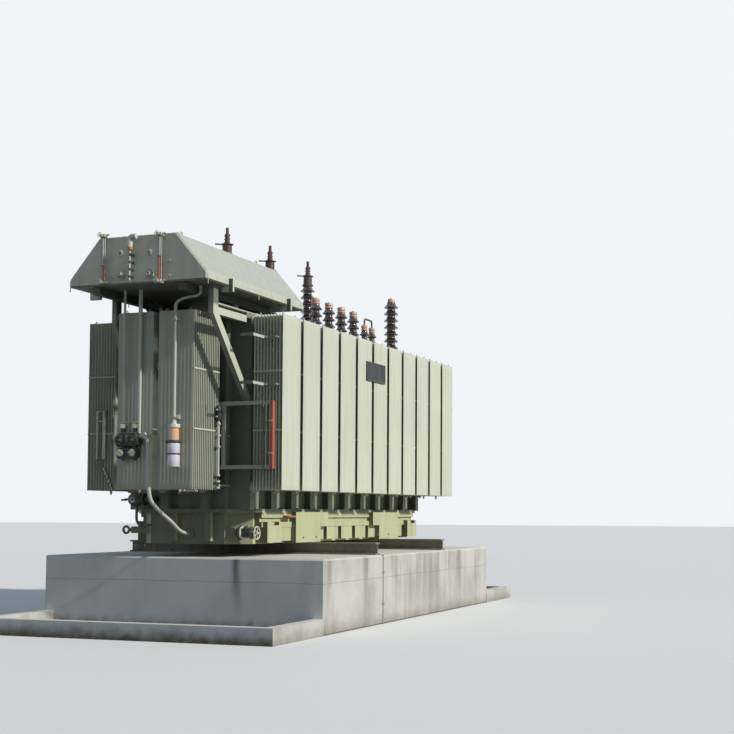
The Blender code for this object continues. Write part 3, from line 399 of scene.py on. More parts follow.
class Piece:
    # Shapes gathered in one mesh, each with its own finish
    def __init__(self, name, slot):
        self.name = name
        self.slot = slot
        self.bm = bmesh.new()
        self.finishes = []

    def coat(self, faces, finish):
        if finish not in self.finishes:
            self.finishes.append(finish)
        for face in faces:
            face.material_index = self.finishes.index(finish)
            face.smooth = True

    def box(self, low, high, finish, edge):
        # a box with its edges cut by the given width
        made = bmesh.ops.create_cube(self.bm, size=1)["verts"]
        size = [top - bottom for bottom, top in zip(low, high)]
        middle = [(top + bottom) / 2 for bottom, top in zip(low, high)]
        for vert in made:
            vert.co = [m + c * s for m, c, s in zip(middle, vert.co, size)]
        lines = list({line for vert in made for line in vert.link_edges})
        cut = bmesh.ops.bevel(
            self.bm, geom=lines, offset=min(edge, min(size) * 0.3), segments=1, affect="EDGES")["faces"]
        self.coat({face for start in cut for vert in start.verts for face in vert.link_faces}, finish)

    def turned(self, profile, finish, place, sides):
        # a profile of radius and height turned about the place's Z
        rings = []
        for radius, height in profile:
            count = sides if radius else 1
            rings.append([
                self.bm.verts.new(place @ Vector((
                    radius * math.cos(math.tau * step / sides), radius * math.sin(math.tau * step / sides),
                    height)))
                for step in range(count)])
        faces = []
        for upper, lower in zip(rings, rings[1:]):
            for step in range(sides):
                following = step + 1
                corners = [
                    upper[step % len(upper)], upper[following % len(upper)],
                    lower[following % len(lower)], lower[step % len(lower)]]
                corners = list(dict.fromkeys(corners))
                if len(corners) > 2:
                    faces.append(self.bm.faces.new(corners))
        self.coat(faces, finish)

    def rod(self, start, end, radius, finish, sides):
        start = Vector(start)
        reach = Vector(end) - start
        length = reach.length
        rim = radius * 0.08
        profile = [
            (0, length), (radius - rim, length), (radius, length - rim), (radius, rim),
            (radius - rim, 0), (0, 0)]
        self.turned(profile, finish, aimed(start, reach), sides)

    def tube(self, points, radius, finish, sides):
        # a round bar swept along the points, with closed ends
        points = [Vector(point) for point in points]
        rings = []
        normal = None
        for index, point in enumerate(points):
            ahead = points[min(index + 1, len(points) - 1)] - points[max(index - 1, 0)]
            ahead.normalize()
            if normal is None:
                normal = ahead.orthogonal().normalized()
            normal = (normal - ahead * normal.dot(ahead)).normalized()
            cross = ahead.cross(normal)
            rings.append([
                self.bm.verts.new(point + radius * (
                    normal * math.cos(math.tau * step / sides) + cross * math.sin(math.tau * step / sides)))
                for step in range(sides)])
        faces = [self.bm.faces.new(rings[0]), self.bm.faces.new(rings[-1])]
        for upper, lower in zip(rings, rings[1:]):
            for step in range(sides):
                following = (step + 1) % sides
                faces.append(self.bm.faces.new(
                    [upper[step], upper[following], lower[following], lower[step]]))
        self.coat(faces, finish)

    def ring(self, place, radius, thickness, finish, sides=24):
        # a closed ring round the place's Z
        rows = []
        for step in range(sides):
            angle = math.tau * step / sides
            out = Vector((math.cos(angle), math.sin(angle), 0))
            rows.append([
                self.bm.verts.new(place @ (
                    out * (radius + thickness * math.cos(math.tau * part / 8))
                    + Vector((0, 0, thickness * math.sin(math.tau * part / 8)))))
                for part in range(8)])
        faces = []
        for step in range(sides):
            ahead = rows[(step + 1) % sides]
            for part in range(8):
                after = (part + 1) % 8
                faces.append(self.bm.faces.new(
                    [rows[step][part], rows[step][after], ahead[after], ahead[part]]))
        self.coat(faces, finish)

    def wheel(self, place, radius, finish, spokes=4):
        # a hand wheel whose shaft is the place's Z
        self.ring(place, radius, radius * 0.12, finish)
        hub = radius * 0.22
        self.turned([(0, hub), (hub, hub), (hub, -hub), (0, -hub)], finish, place, 12)
        for spoke in range(spokes):
            angle = math.tau * spoke / spokes
            end = place @ Vector((radius * math.cos(angle), radius * math.sin(angle), 0))
            self.rod(place @ Vector((0, 0, 0)), end, radius * 0.07, finish, 8)

    def plate(self, outline, start, end, finish):
        # a flat outline in X and Y, from one height to another
        lower = [self.bm.verts.new((x, y, start)) for x, y in outline]
        upper = [self.bm.verts.new((x, y, end)) for x, y in outline]
        faces = [self.bm.faces.new(lower), self.bm.faces.new(upper)]
        for index in range(len(outline)):
            after = (index + 1) % len(outline)
            faces.append(self.bm.faces.new([lower[index], lower[after], upper[after], upper[index]]))
        self.coat(faces, finish)

    def mesh(self):
        bmesh.ops.recalc_face_normals(self.bm, faces=self.bm.faces)
        data = bpy.data.meshes.new(self.name)
        self.bm.to_mesh(data)
        self.bm.free()
        for finish in self.finishes:
            data.materials.append(finish)
        data.set_sharp_from_angle(angle=math.radians(40))
        return data

    def done(self, *nodes):
        return settle(self.name, self.mesh(), self.slot, *nodes)


def settle(name, data, slot, *nodes):
    made = bpy.data.objects.new(name, data)
    bpy.context.scene.collection.objects.link(made)
    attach(made, "root")
    if nodes:
        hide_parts(*nodes)
    return made


# Geometry nodes: bolts on points, and copies of a shape along a line

def newTree(name, sockets):
    tree = bpy.data.node_groups.new(name, "GeometryNodeTree")
    identifiers = {}
    for label, kind in sockets.items():
        made = tree.interface.new_socket(label, in_out="INPUT", socket_type=kind)
        identifiers[label] = made.identifier
    tree.interface.new_socket("Geometry", in_out="OUTPUT", socket_type="NodeSocketGeometry")
    nodes = NodeTree(tree)
    source = tree.nodes.new("NodeGroupInput")
    inputs = {label: Wire(nodes, source.outputs[label]) for label in sockets}
    return nodes, inputs, identifiers


def closeTree(nodes, geometry, finish):
    realized = nodes.add("GeometryNodeRealizeInstances", {}, {0: geometry})
    coated = nodes.add("GeometryNodeSetMaterial", {}, {"Geometry": realized, "Material": finish})
    target = nodes.tree.nodes.new("NodeGroupOutput")
    nodes.feed(target.inputs[0], coated)


def boltTree():
    nodes, inputs, identifiers = newTree("hexBolts", {
        "Points": "NodeSocketGeometry", "Head radius": "NodeSocketFloat",
        "Head height": "NodeSocketFloat", "Finish": "NodeSocketMaterial"})
    head = nodes.add("GeometryNodeMeshCylinder", {}, {
        "Vertices": 6, "Radius": inputs["Head radius"], "Depth": inputs["Head height"]})
    washer = nodes.add("GeometryNodeMeshCylinder", {}, {
        "Vertices": 10, "Radius": inputs["Head radius"] * 1.45, "Depth": inputs["Head height"] * 0.3})
    lift = nodes.add("ShaderNodeCombineXYZ", {}, {"Z": inputs["Head height"] * 0.5})
    raised = nodes.add("GeometryNodeTransform", {}, {"Geometry": head, "Translation": lift})
    both = nodes.tree.nodes.new("GeometryNodeJoinGeometry")
    nodes.feed(both.inputs[0], raised)
    nodes.feed(both.inputs[0], washer)
    way = nodes.add("GeometryNodeInputNamedAttribute", {"data_type": "FLOAT_VECTOR"}, {"Name": "facing"})
    turn = nodes.add("FunctionNodeAlignRotationToVector", {"axis": "Z"}, {"Vector": way})
    spread = nodes.add("GeometryNodeInstanceOnPoints", {}, {
        "Points": inputs["Points"], "Instance": Wire(nodes, both.outputs[0]), "Rotation": turn})
    closeTree(nodes, spread, inputs["Finish"])
    return nodes.tree, identifiers


def stackTree():
    nodes, inputs, identifiers = newTree("copiesAlongLine", {
        "Shape": "NodeSocketGeometry", "Count": "NodeSocketInt", "Step": "NodeSocketVector",
        "Finish": "NodeSocketMaterial"})
    line = nodes.add("GeometryNodeMeshLine", {"mode": "OFFSET"}, {
        "Count": inputs["Count"], "Offset": inputs["Step"]})
    spread = nodes.add("GeometryNodeInstanceOnPoints", {}, {"Points": line, "Instance": inputs["Shape"]})
    realized = nodes.add("GeometryNodeRealizeInstances", {}, {0: spread})
    welded = nodes.add("GeometryNodeMergeByDistance", {}, {"Geometry": realized, "Distance": 0.00002})
    closeTree(nodes, welded, inputs["Finish"])
    return nodes.tree, identifiers


boltNodes, boltInputs = boltTree()
stackNodes, stackInputs = stackTree()


def evaluated(data, tree, identifiers, values):
    carrier = bpy.data.objects.new(data.name, data)
    bpy.context.scene.collection.objects.link(carrier)
    modifier = carrier.modifiers.new("nodes", "NODES")
    modifier.node_group = tree
    for label, value in values.items():
        modifier[identifiers[label]] = value
    graph = bpy.context.evaluated_depsgraph_get()
    made = bpy.data.meshes.new_from_object(carrier.evaluated_get(graph))
    bpy.data.objects.remove(carrier)
    return made


def bolts(name, spots, radius, height, finish, slot="steel"):
    # spots are places with the way that each bolt faces
    data = bpy.data.meshes.new(name)
    data.from_pydata([spot for spot, _ in spots], [], [])
    way = data.attributes.new("facing", "FLOAT_VECTOR", "POINT")
    for item, (_, facing) in zip(way.data, spots):
        item.vector = facing
    made = evaluated(data, boltNodes, boltInputs, {
        "Head radius": radius, "Head height": height, "Finish": finish})
    return settle(name, made, slot)


def copies(data, count, step, finish):
    return evaluated(data, stackNodes, stackInputs, {"Count": count, "Step": step, "Finish": finish})


def between(start, end, count):
    return [start + (end - start) * index / (count - 1) for index in range(count)]


def circleSpots(place, radius, count, height=0.0):
    facing = place.to_3x3() @ Vector((0, 0, 1))
    return [
        (place @ Vector((radius * math.cos(math.tau * step / count),
                         radius * math.sin(math.tau * step / count), height)), facing)
        for step in range(count)]


# Radiators: pressed panels on two headers, with tie strips, plugs, eyes and neck valves

radiator = dict(
    sidePanels=10, endPanels=15, pitch=0.045, width=0.52, thickness=0.012, flutes=9, flankShare=0.07,
    rim=0.014, channel=0.0068, valley=0.0046, headerTop=0.085, headerHeight=0.045, headerRadius=0.043,
    neckRadius=0.040, neckInset=0.015, flangeRadius=0.078, flange=0.014, valveSpan=0.0616,
    bodyRadiusShare=0.86, leverRadius=0.009, leverThick=0.03, leverRise=0.05,
    strip=0.022, stripThick=0.005, stripShares=(0.337, 0.674), plugRadius=0.017, plugDrop=0.034,
    lugSide=0.17, lugHalf=0.03, lugRise=0.012, eyeRise=0.022, eyeRadius=0.014, eyeBar=0.0045)
radiatorHeight = sideHigh.z - sideLow.z


def panelMesh():
    # one hollow-looking panel: two pressed skins that meet round the rim
    size = radiator
    half = size["width"] / 2
    span = size["width"] - 2 * size["rim"]
    across = [(-half, 0.0), (size["rim"] - half, 0.0)]
    for flute in range(size["flutes"]):
        start = size["rim"] - half + span * flute / size["flutes"]
        width = span / size["flutes"]
        flank = width * size["flankShare"]
        across += [(start + flank, 1.0), (start + width - flank, 1.0), (start + width, 0.0)]
    across.append((half, 0.0))
    rows = [(0.0, "rim"), (size["rim"], "rim"), (size["rim"] * 2, "header"), (size["headerTop"], "header"),
            (size["headerTop"] * 1.4, "flute")]
    rows += [(radiatorHeight - z, kind) for z, kind in reversed(rows)]
    bm = bmesh.new()
    skins = []
    for side in (-1, 1):
        grid = []
        for z, kind in rows:
            line = []
            for index, (y, crest) in enumerate(across):
                rim = index in (0, len(across) - 1)
                swell = {"rim": 0.0, "header": 1.0, "flute": crest}[kind]
                if index in (1, len(across) - 2):
                    swell = 0.0
                x = side * (size["valley"] + (size["channel"] - size["valley"]) * swell * (not rim))
                line.append(bm.verts.new((x, y, z)))
            grid.append(line)
        for low, high in zip(grid, grid[1:]):
            for index in range(len(across) - 1):
                bm.faces.new([low[index], low[index + 1], high[index + 1], high[index]])
        skins.append(grid)
    back, front = skins
    for low, high in zip(range(len(rows) - 1), range(1, len(rows))):
        for column in (0, -1):
            bm.faces.new([back[low][column], front[low][column], front[high][column], back[high][column]])
    for row in (0, -1):
        for index in range(len(across) - 1):
            bm.faces.new([
                back[row][index], back[row][index + 1], front[row][index + 1], front[row][index]])
    bmesh.ops.recalc_face_normals(bm, faces=bm.faces)
    data = bpy.data.meshes.new("panel")
    bm.to_mesh(data)
    bm.free()
    data.transform(Matrix.Translation((size["thickness"] / 2, 0, 0)))
    return data


def stackDepth(count):
    return (count - 1) * radiator["pitch"] + radiator["thickness"]


def radiatorMesh(neck, count, plugShare):
    # local: outwards is +X from the first panel's back, the neck runs to -X
    size = radiator
    depth = stackDepth(count)
    piece = Piece("radiatorUnit", "radiator_paint")
    panels = copies(panelMesh(), count, (size["pitch"], 0, 0), radiatorPaint)
    piece.bm.from_mesh(panels)
    piece.coat(list(piece.bm.faces), radiatorPaint)
    r = size["neckRadius"]
    f = size["flangeRadius"]
    t = size["flange"]
    waist = f * size["bodyRadiusShare"]
    span = size["valveSpan"]
    levels = (size["headerHeight"], radiatorHeight - size["headerHeight"])
    for z in levels:
        piece.rod((-neck * 0.55, 0, z), (depth - 0.004, 0, z), size["headerRadius"], radiatorPaint, 18)
        piece.turned([
            (0, 0), (f, 0), (f, t), (waist, t), (waist, span - t), (f, span - t), (f, span),
            (r, span + t * 0.2), (r, neck - size["neckInset"]), (0, neck - size["neckInset"])],
            radiatorPaint, aimed((-neck, 0, z), (1, 0, 0)), 20)
    side = f * 0.84
    along = -neck + t * 2.2
    reach = side + size["leverThick"]
    for z in levels:
        piece.rod((along, side, z), (along, reach, z), size["leverRadius"], darkPaint, 8)
        piece.box((along - t / 2, reach - 0.006, z - 0.012),
                  (along + t / 2, reach + 0.002, z + size["leverRise"]), darkPaint, 0.002)
    inner = size["width"] / 2 + 0.001
    outer = inner + size["stripThick"]
    for share in size["stripShares"]:
        z = radiatorHeight * share
        for low, high in ((-outer, -inner), (inner, outer)):
            piece.box((-0.004, low, z - size["strip"] / 2), (depth + 0.002, high, z + size["strip"] / 2),
                      radiatorPaint, 0.0015)
    along = depth * plugShare
    r = size["plugRadius"]
    drop = size["plugDrop"]
    piece.rod((along, 0, -drop), (along, 0, 0.01), r, whitePaint, 10)
    piece.turned([(0, -drop * 1.6), (r * 0.7, -drop * 1.6), (r * 0.7, -drop * 0.9), (0, -drop * 0.9)],
                 orangePaint, Matrix.Translation((along, 0, 0)), 8)
    top = radiatorHeight
    piece.rod((depth / 2, 0, top - 0.01), (depth / 2, 0, top + drop * 0.55), r * 0.8, whitePaint, 10)
    half = size["lugHalf"]
    for along in (size["pitch"], depth - size["pitch"]):
        for y in (-size["lugSide"], size["lugSide"]):
            piece.box((along - 0.005, y - half, top - 0.02),
                      (along + 0.005, y + half, top + size["lugRise"]), radiatorPaint, 0.002)
            piece.ring(aimed((along, y, top + size["eyeRise"]), (1, 0, 0)), size["eyeRadius"],
                       size["eyeBar"], radiatorPaint, 14)
    return piece.mesh()


def placed(data, name, matrix):
    made = data.copy()
    made.name = name
    made.transform(matrix)
    return made


def radiatorBanks():
    neckSpots = []
    side = radiator["sidePanels"]
    end = radiator["endPanels"]
    # each bank's units, turn, panels of a unit, and the drain plug's share of the depth
    banks = (("right", 11, -90, side, 0.5), ("left", 11, 90, side, 0.5), ("near", 2, 180, end, 0.8),
             ("far", 2, 0, end, 0.8))
    units = {}
    for bank, count, turn, panels, plugShare in banks:
        for number in range(1, count + 1):
            node = f"{bank}_radiator_{number:02d}" if count > 9 else f"{bank}_radiator_{number}"
            low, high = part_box(node)
            alongX = bank in ("near", "far")
            reach = (high.x - low.x) if alongX else (high.y - low.y)
            neck = round(reach - stackDepth(panels), 4)
            if panels not in units:
                units[panels] = radiatorMesh(neck, panels, plugShare)
            middle = (low + high) / 2
            origin = {
                "right": (middle.x, high.y - neck, low.z), "left": (middle.x, low.y + neck, low.z),
                "near": (high.x - neck, middle.y, low.z), "far": (low.x + neck, middle.y, low.z)}[bank]
            matrix = Matrix.Translation(origin) @ Matrix.Rotation(math.radians(turn), 4, "Z")
            data = placed(units[panels], f"{bank}Radiator{number:02d}", matrix)
            settle(data.name, data, "radiator_paint", node)
            for z in (radiator["headerHeight"], radiatorHeight - radiator["headerHeight"]):
                local = aimed((radiator["valveSpan"] - neck, 0, z), (1, 0, 0))
                neckSpots.extend(circleSpots(matrix @ local, radiator["flangeRadius"] * 0.8, 6))
    bolts("neckBolts", neckSpots, 0.008, 0.009, zinc, "radiator_paint")


radiatorBanks()
print("radiators ready")


# Bushings: turned caps and feet, with thin sheds repeated down the porcelain

bushing = dict(
    hv=dict(turret=0.15, turretTop=0.26, flange=0.19, core=0.070, shed=0.122, pitch=0.117, count=8,
            cap=0.070, capDrop=0.24, disc=0.095, terminal=0.036, boltDrops=(0.12, 0.17, 0.215),
            boltHalf=0.05, boltRadius=0.009, armDrop=0.25, armRadius=0.012),
    mv=dict(foot=0.13, neck=0.085, neckTop=0.17, core=0.060, shed=0.102, pitch=0.11, count=4, cap=0.064,
            boltCircle=0.112, bolts=8),
    tertiary=dict(foot=0.11, neck=0.0576, neckTop=0.03, core=0.048, shed=0.082, pitch=0.105, count=4,
                  cap=0.052, capHeight=0.10, boltCircle=0.094, bolts=6, linkRadius=0.016, linkBend=0.07),
    neutral=dict(foot=0.17, neck=0.10, neckTop=0.11, core=0.073, shed=0.127, pitch=0.12, count=8,
                 cap=0.06, boltCircle=0.148, bolts=10))


def shedStack(name, size):
    core = size["core"]
    rim = size["shed"]
    pitch = size["pitch"]
    profile = [
        (core, 0), (core * 1.04, pitch * 0.18), (rim * 0.80, pitch * 0.25), (rim * 0.97, pitch * 0.20),
        (rim, pitch * 0.26), (rim * 0.96, pitch * 0.34), (rim * 0.78, pitch * 0.47),
        (core * 1.14, pitch * 0.70), (core, pitch * 0.84), (core, pitch)]
    piece = Piece(name, "porcelain")
    piece.turned(profile, porcelain, Matrix(), 32)
    return copies(piece.mesh(), size["count"], (0, 0, pitch), porcelain)


def addSheds(piece, name, size, x, y, z):
    data = shedStack(name, size)
    data.transform(Matrix.Translation((x, y, z)))
    before = len(piece.bm.faces)
    piece.bm.from_mesh(data)
    piece.bm.faces.ensure_lookup_table()
    piece.coat(piece.bm.faces[before:], porcelain)


def highVoltageBushings():
    size = bushing["hv"]
    foot = size["turretTop"]
    r = size["turret"]
    f = size["flange"]
    core = size["core"]
    cap = size["cap"]
    disc = size["disc"]
    t = size["terminal"]
    drop = size["capDrop"]
    top = foot + size["pitch"] * size["count"]
    spots = []
    for number in (1, 2, 3):
        low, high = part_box(f"hv_bushing_{number}")
        x = (low.x + high.x) / 2
        y = (low.y + high.y) / 2
        end = high.z - low.z
        place = Matrix.Translation((x, y, low.z))
        piece = Piece(f"highVoltageBushing{number}", "porcelain")
        piece.turned([
            (0, foot), (core * 1.1, foot), (core * 1.25, foot - 0.004), (f * 0.8, foot - 0.012),
            (f, foot - 0.016), (f, foot - 0.034), (r, foot - 0.036), (r, 0.034), (f, 0.03), (f, 0.002),
            (0, 0.002)], tankPaint, place, 36)
        addSheds(piece, "hvSheds", size, x, y, low.z + foot)
        piece.turned([
            (0, end - drop), (disc * 0.6, end - drop), (disc, end - drop - 0.006),
            (disc, end - drop - 0.016), (cap, end - drop - 0.022), (cap * 1.02, end - drop - 0.06),
            (cap * 1.02, top + 0.035), (cap * 1.3, top + 0.028), (cap * 1.3, top), (0, top)],
            capPaint, place, 28)
        piece.turned([
            (0, end), (t * 0.6, end), (t * 0.66, end - 0.006), (t * 0.66, end - 0.09), (t, end - 0.094),
            (t, end - drop + 0.004), (0, end - drop)], capPaint, place, 18)
        half = size["boltHalf"]
        for boltDrop in size["boltDrops"]:
            z = high.z - boltDrop
            piece.rod((x, y - half, z), (x, y + half, z), size["boltRadius"], darkZinc, 8)
        z = high.z - size["armDrop"]
        piece.rod((x - disc * 0.5, y + disc * 0.9, z), (x - disc, y + disc * 1.6, z), size["armRadius"],
                  darkZinc, 8)
        piece.done(f"hv_bushing_{number}")
        for level in (0.028, foot - 0.016):
            spots += circleSpots(Matrix.Translation((x, y, low.z + level)), f * 0.9, 12)
    bolts("turretBolts", spots, 0.010, 0.012, zinc, "tank_paint")


def smallBushing(piece, kind, low, x, y, top):
    size = bushing[kind]
    foot = size["neckTop"]
    neck = size["neck"]
    wide = size["foot"]
    cap = size["cap"]
    place = Matrix.Translation((x, y, low))
    piece.turned([
        (0, foot), (neck, foot), (neck * 1.06, foot - 0.008), (neck, 0.03), (wide, 0.026), (wide, 0.002),
        (0, 0.002)], tankPaint, place, 28)
    addSheds(piece, kind + "Sheds", size, x, y, low + foot)
    start = foot + size["pitch"] * size["count"]
    end = top - low
    piece.turned([
        (0, end), (cap * 0.28, end), (cap * 0.28, end - 0.012), (cap * 0.92, end - 0.016),
        (cap, end - 0.024), (cap, end - 0.058), (cap * 0.93, end - 0.062), (cap * 0.84, end - 0.064),
        (cap * 0.84, end - 0.072), (cap * 0.94, end - 0.076), (cap * 0.94, start + 0.02),
        (cap * 1.05, start + 0.016), (cap * 1.05, start), (0, start)], capMetal, place, 24)
    # the places of its foot's bolts
    return circleSpots(Matrix.Translation((x, y, low + 0.025)), size["boltCircle"], size["bolts"])


def lowVoltageBushings():
    spots = []
    for number in (1, 2, 3, 4):
        low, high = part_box(f"mv_bushing_{number}")
        piece = Piece(f"mediumVoltageBushing{number}", "porcelain")
        spots += smallBushing(piece, "mv", low.z, (low.x + high.x) / 2, (low.y + high.y) / 2, high.z)
        piece.done(f"mv_bushing_{number}")
    size = bushing["tertiary"]
    low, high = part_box("tertiary_bushings")
    y = (low.y + high.y) / 2
    piece = Piece("tertiaryBushings", "porcelain")
    capTop = low.z + size["neckTop"] + size["pitch"] * size["count"] + size["capHeight"]
    ends = (low.x + size["foot"], high.x - size["foot"])
    for x in ends:
        spots += smallBushing(piece, "tertiary", low.z, x, y, capTop)
    linkTop = high.z - size["linkRadius"]
    piece.tube(bent([
        (ends[0], y, capTop - 0.02), (ends[0], y, linkTop), (ends[1], y, linkTop),
        (ends[1], y, capTop - 0.02)], size["linkBend"]), size["linkRadius"], darkZinc, 12)
    piece.done("tertiary_bushings")
    low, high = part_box("neutral_bushing")
    piece = Piece("neutralBushing", "porcelain")
    spots += smallBushing(piece, "neutral", low.z, (low.x + high.x) / 2, (low.y + high.y) / 2, high.z)
    piece.done("neutral_bushing")
    bolts("bushingFootBolts", spots, 0.008, 0.010, zinc, "tank_paint")


highVoltageBushings()
lowVoltageBushings()
print("bushings ready")


# Tank joints: a row of bolts round the cover, and another round the joint of bell and trough

joints = dict(
    inset=0.035, coverPitch=0.13, jointPitch=0.14, cutX=0.30, cutY=0.26, flange=0.025,
    coverBolt=0.012, coverHead=0.016, jointBolt=0.013, jointHead=0.018)


def rimSpots(halfX, halfY, z, pitch, facing, cut):
    # bolts in a rectangle, leaving the cut corners free
    spots = []
    spanX = halfX - cut * joints["cutX"] / joints["cutY"]
    spanY = halfY - cut
    for x in between(-spanX, spanX, round(2 * spanX / pitch) + 1):
        spots += [((x, -halfY, z), facing), ((x, halfY, z), facing)]
    for y in between(-spanY + pitch, spanY - pitch, round(2 * spanY / pitch) - 1):
        spots += [((-halfX, y, z), facing), ((halfX, y, z), facing)]
    return spots


def tankBolts():
    size = joints
    up = Vector((0, 0, 1))
    flange = size["flange"]
    rows = (
        ("coverBolts", coverHigh, coverTop, up, "cover", "tank_paint"),
        ("coverNuts", coverHigh, bellHigh.z - flange, -up, "cover", "tank_paint"),
        ("jointBolts", bellHigh, bellLow.z + flange, up, "joint", "tank_paint"),
        ("jointNuts", bellHigh, troughTop - flange, -up, "joint", "trough_paint"))
    for name, corner, z, facing, kind, slot in rows:
        cut = size["cutY"] if kind == "joint" else 0.0
        halfX = corner.x - size["inset"]
        halfY = corner.y - size["inset"]
        spots = rimSpots(halfX, halfY, z, size[kind + "Pitch"], facing, cut)
        bolts(name, spots, size[kind + "Bolt"], size[kind + "Head"], darkZinc, slot)


tankBolts()


# Cover: lifting bollards, hand-hole covers, thermometer pockets and the thin pipes along the rim

coverFittings = dict(
    bollards=(-1.95, 2.45), bollardRow=0.55, handHoles=((-0.62, 0.0), (2.45, 0.02), (0.75, 0.02)),
    holeRadius=0.20, holeTop=0.045, handleHalf=0.05, handleRise=0.04, pockets=(0.35, -1.0, 1.9),
    pocketSide=0.12, pipeRise=0.035, pipeRadius=0.014, pipeSide=-0.80, pipeOffset=0.12, pipeBend=0.05,
    pipes=((0.0, -3.86, -2.55, palePaint), (0.045, -3.80, 2.55, palePaint), (0.085, -3.75, 3.1, darkZinc)),
    clampHalf=0.012, clampTop=0.022, clampStart=-3.15, clampEnd=2.45, clamps=9)


def coverPieces():
    size = coverFittings
    spots = []
    piece = Piece("coverFittings", "tank_paint")
    for x in size["bollards"]:
        for y in (-size["bollardRow"], size["bollardRow"]):
            piece.turned([
                (0, 0.13), (0.062, 0.13), (0.07, 0.122), (0.07, 0.108), (0.042, 0.09), (0.042, 0.02),
                (0.08, 0.012), (0.08, 0), (0, 0)], tankPaint, Matrix.Translation((x, y, coverTop)), 20)
    r = size["holeRadius"]
    top = size["holeTop"]
    half = size["handleHalf"]
    handleLow = coverTop + top - 0.005
    handleHigh = coverTop + top + size["handleRise"]
    for x, y in size["handHoles"]:
        piece.turned([
            (0, top), (r * 0.97, top), (r, top - 0.004), (r, 0.024), (r * 0.96, 0.022), (r, 0.02), (r, 0),
            (0, 0)], tankPaint, Matrix.Translation((x, y, coverTop)), 36)
        piece.tube(bent([(x - half, y, handleLow), (x - half, y, handleHigh), (x + half, y, handleHigh),
                         (x + half, y, handleLow)], 0.025), 0.007, tankPaint, 8)
        spots += circleSpots(Matrix.Translation((x, y, coverTop + top)), r * 0.86, 12)
    for x in size["pockets"]:
        piece.turned([
            (0, 0.12), (0.014, 0.12), (0.018, 0.11), (0.018, 0.05), (0.03, 0.046), (0.03, 0), (0, 0)],
            brass, Matrix.Translation((x, size["pocketSide"], coverTop)), 12)
    piece.done()
    bolts("handHoleBolts", spots, 0.009, 0.011, zinc, "tank_paint")
    rim = Piece("rimPipes", "fitting_paint")
    z = coverTop + size["pipeRise"]
    for offset, start, end, finish in size["pipes"]:
        y = size["pipeSide"] + offset
        inner = y + size["pipeOffset"]
        route = [(start, y, conservatorLow.z), (start, y, z), (end, y, z), (end, inner, z),
                 (end, inner, coverTop)]
        rim.tube(bent(route, size["pipeBend"]), size["pipeRadius"], finish, 10)
    half = size["clampHalf"]
    for x in between(size["clampStart"], size["clampEnd"], size["clamps"]):
        rim.box((x - half, size["pipeSide"] - 0.03, coverTop),
                (x + half, size["pipeSide"] + 0.11, coverTop + size["clampTop"]), steelPaint, 0.002)
    rim.done()


coverPieces()
print("tank joints and cover ready")


# Conservator: gauges, pipe, covers, lugs and seams on its near end, and a filler on top

conservatorSizes = dict(
    halfBottom=1.0, halfTop=0.565, edge=0.10, seamInset=0.03, seamRise=0.02, seamRadius=0.006,
    gauges=((0.466, 4.431, 5.026, 0.36), (-0.355, 4.404, 4.993, 0.53)), gaugeStand=0.045,
    gaugeRadius=0.017, guardSide=0.027, guardRadius=0.005, cockReach=0.125, cockRadius=0.016,
    covers=((0.221, 4.525), (-0.198, 4.512)), coverRings=((0.028, 0.056), (0.042, 0.040), (0.060, 0.024)),
    lugs=((0.234, 4.806), (-0.184, 4.790)), studs=((-0.474, 4.660), (-0.474, 4.472), (0.346, 4.494)),
    pipeSide=0.054, pipeStand=0.078, pipeBottom=4.430, pipeTop=4.815, pipeRadius=0.011, clampHalf=0.013,
    elbowRadius=0.033, elbowRise=0.17, elbowReach=0.09, collarRadius=0.035, collarHeight=0.04,
    fillerPlace=0.55, eyeInset=0.35, eyeSide=0.42, eyeRise=0.055)


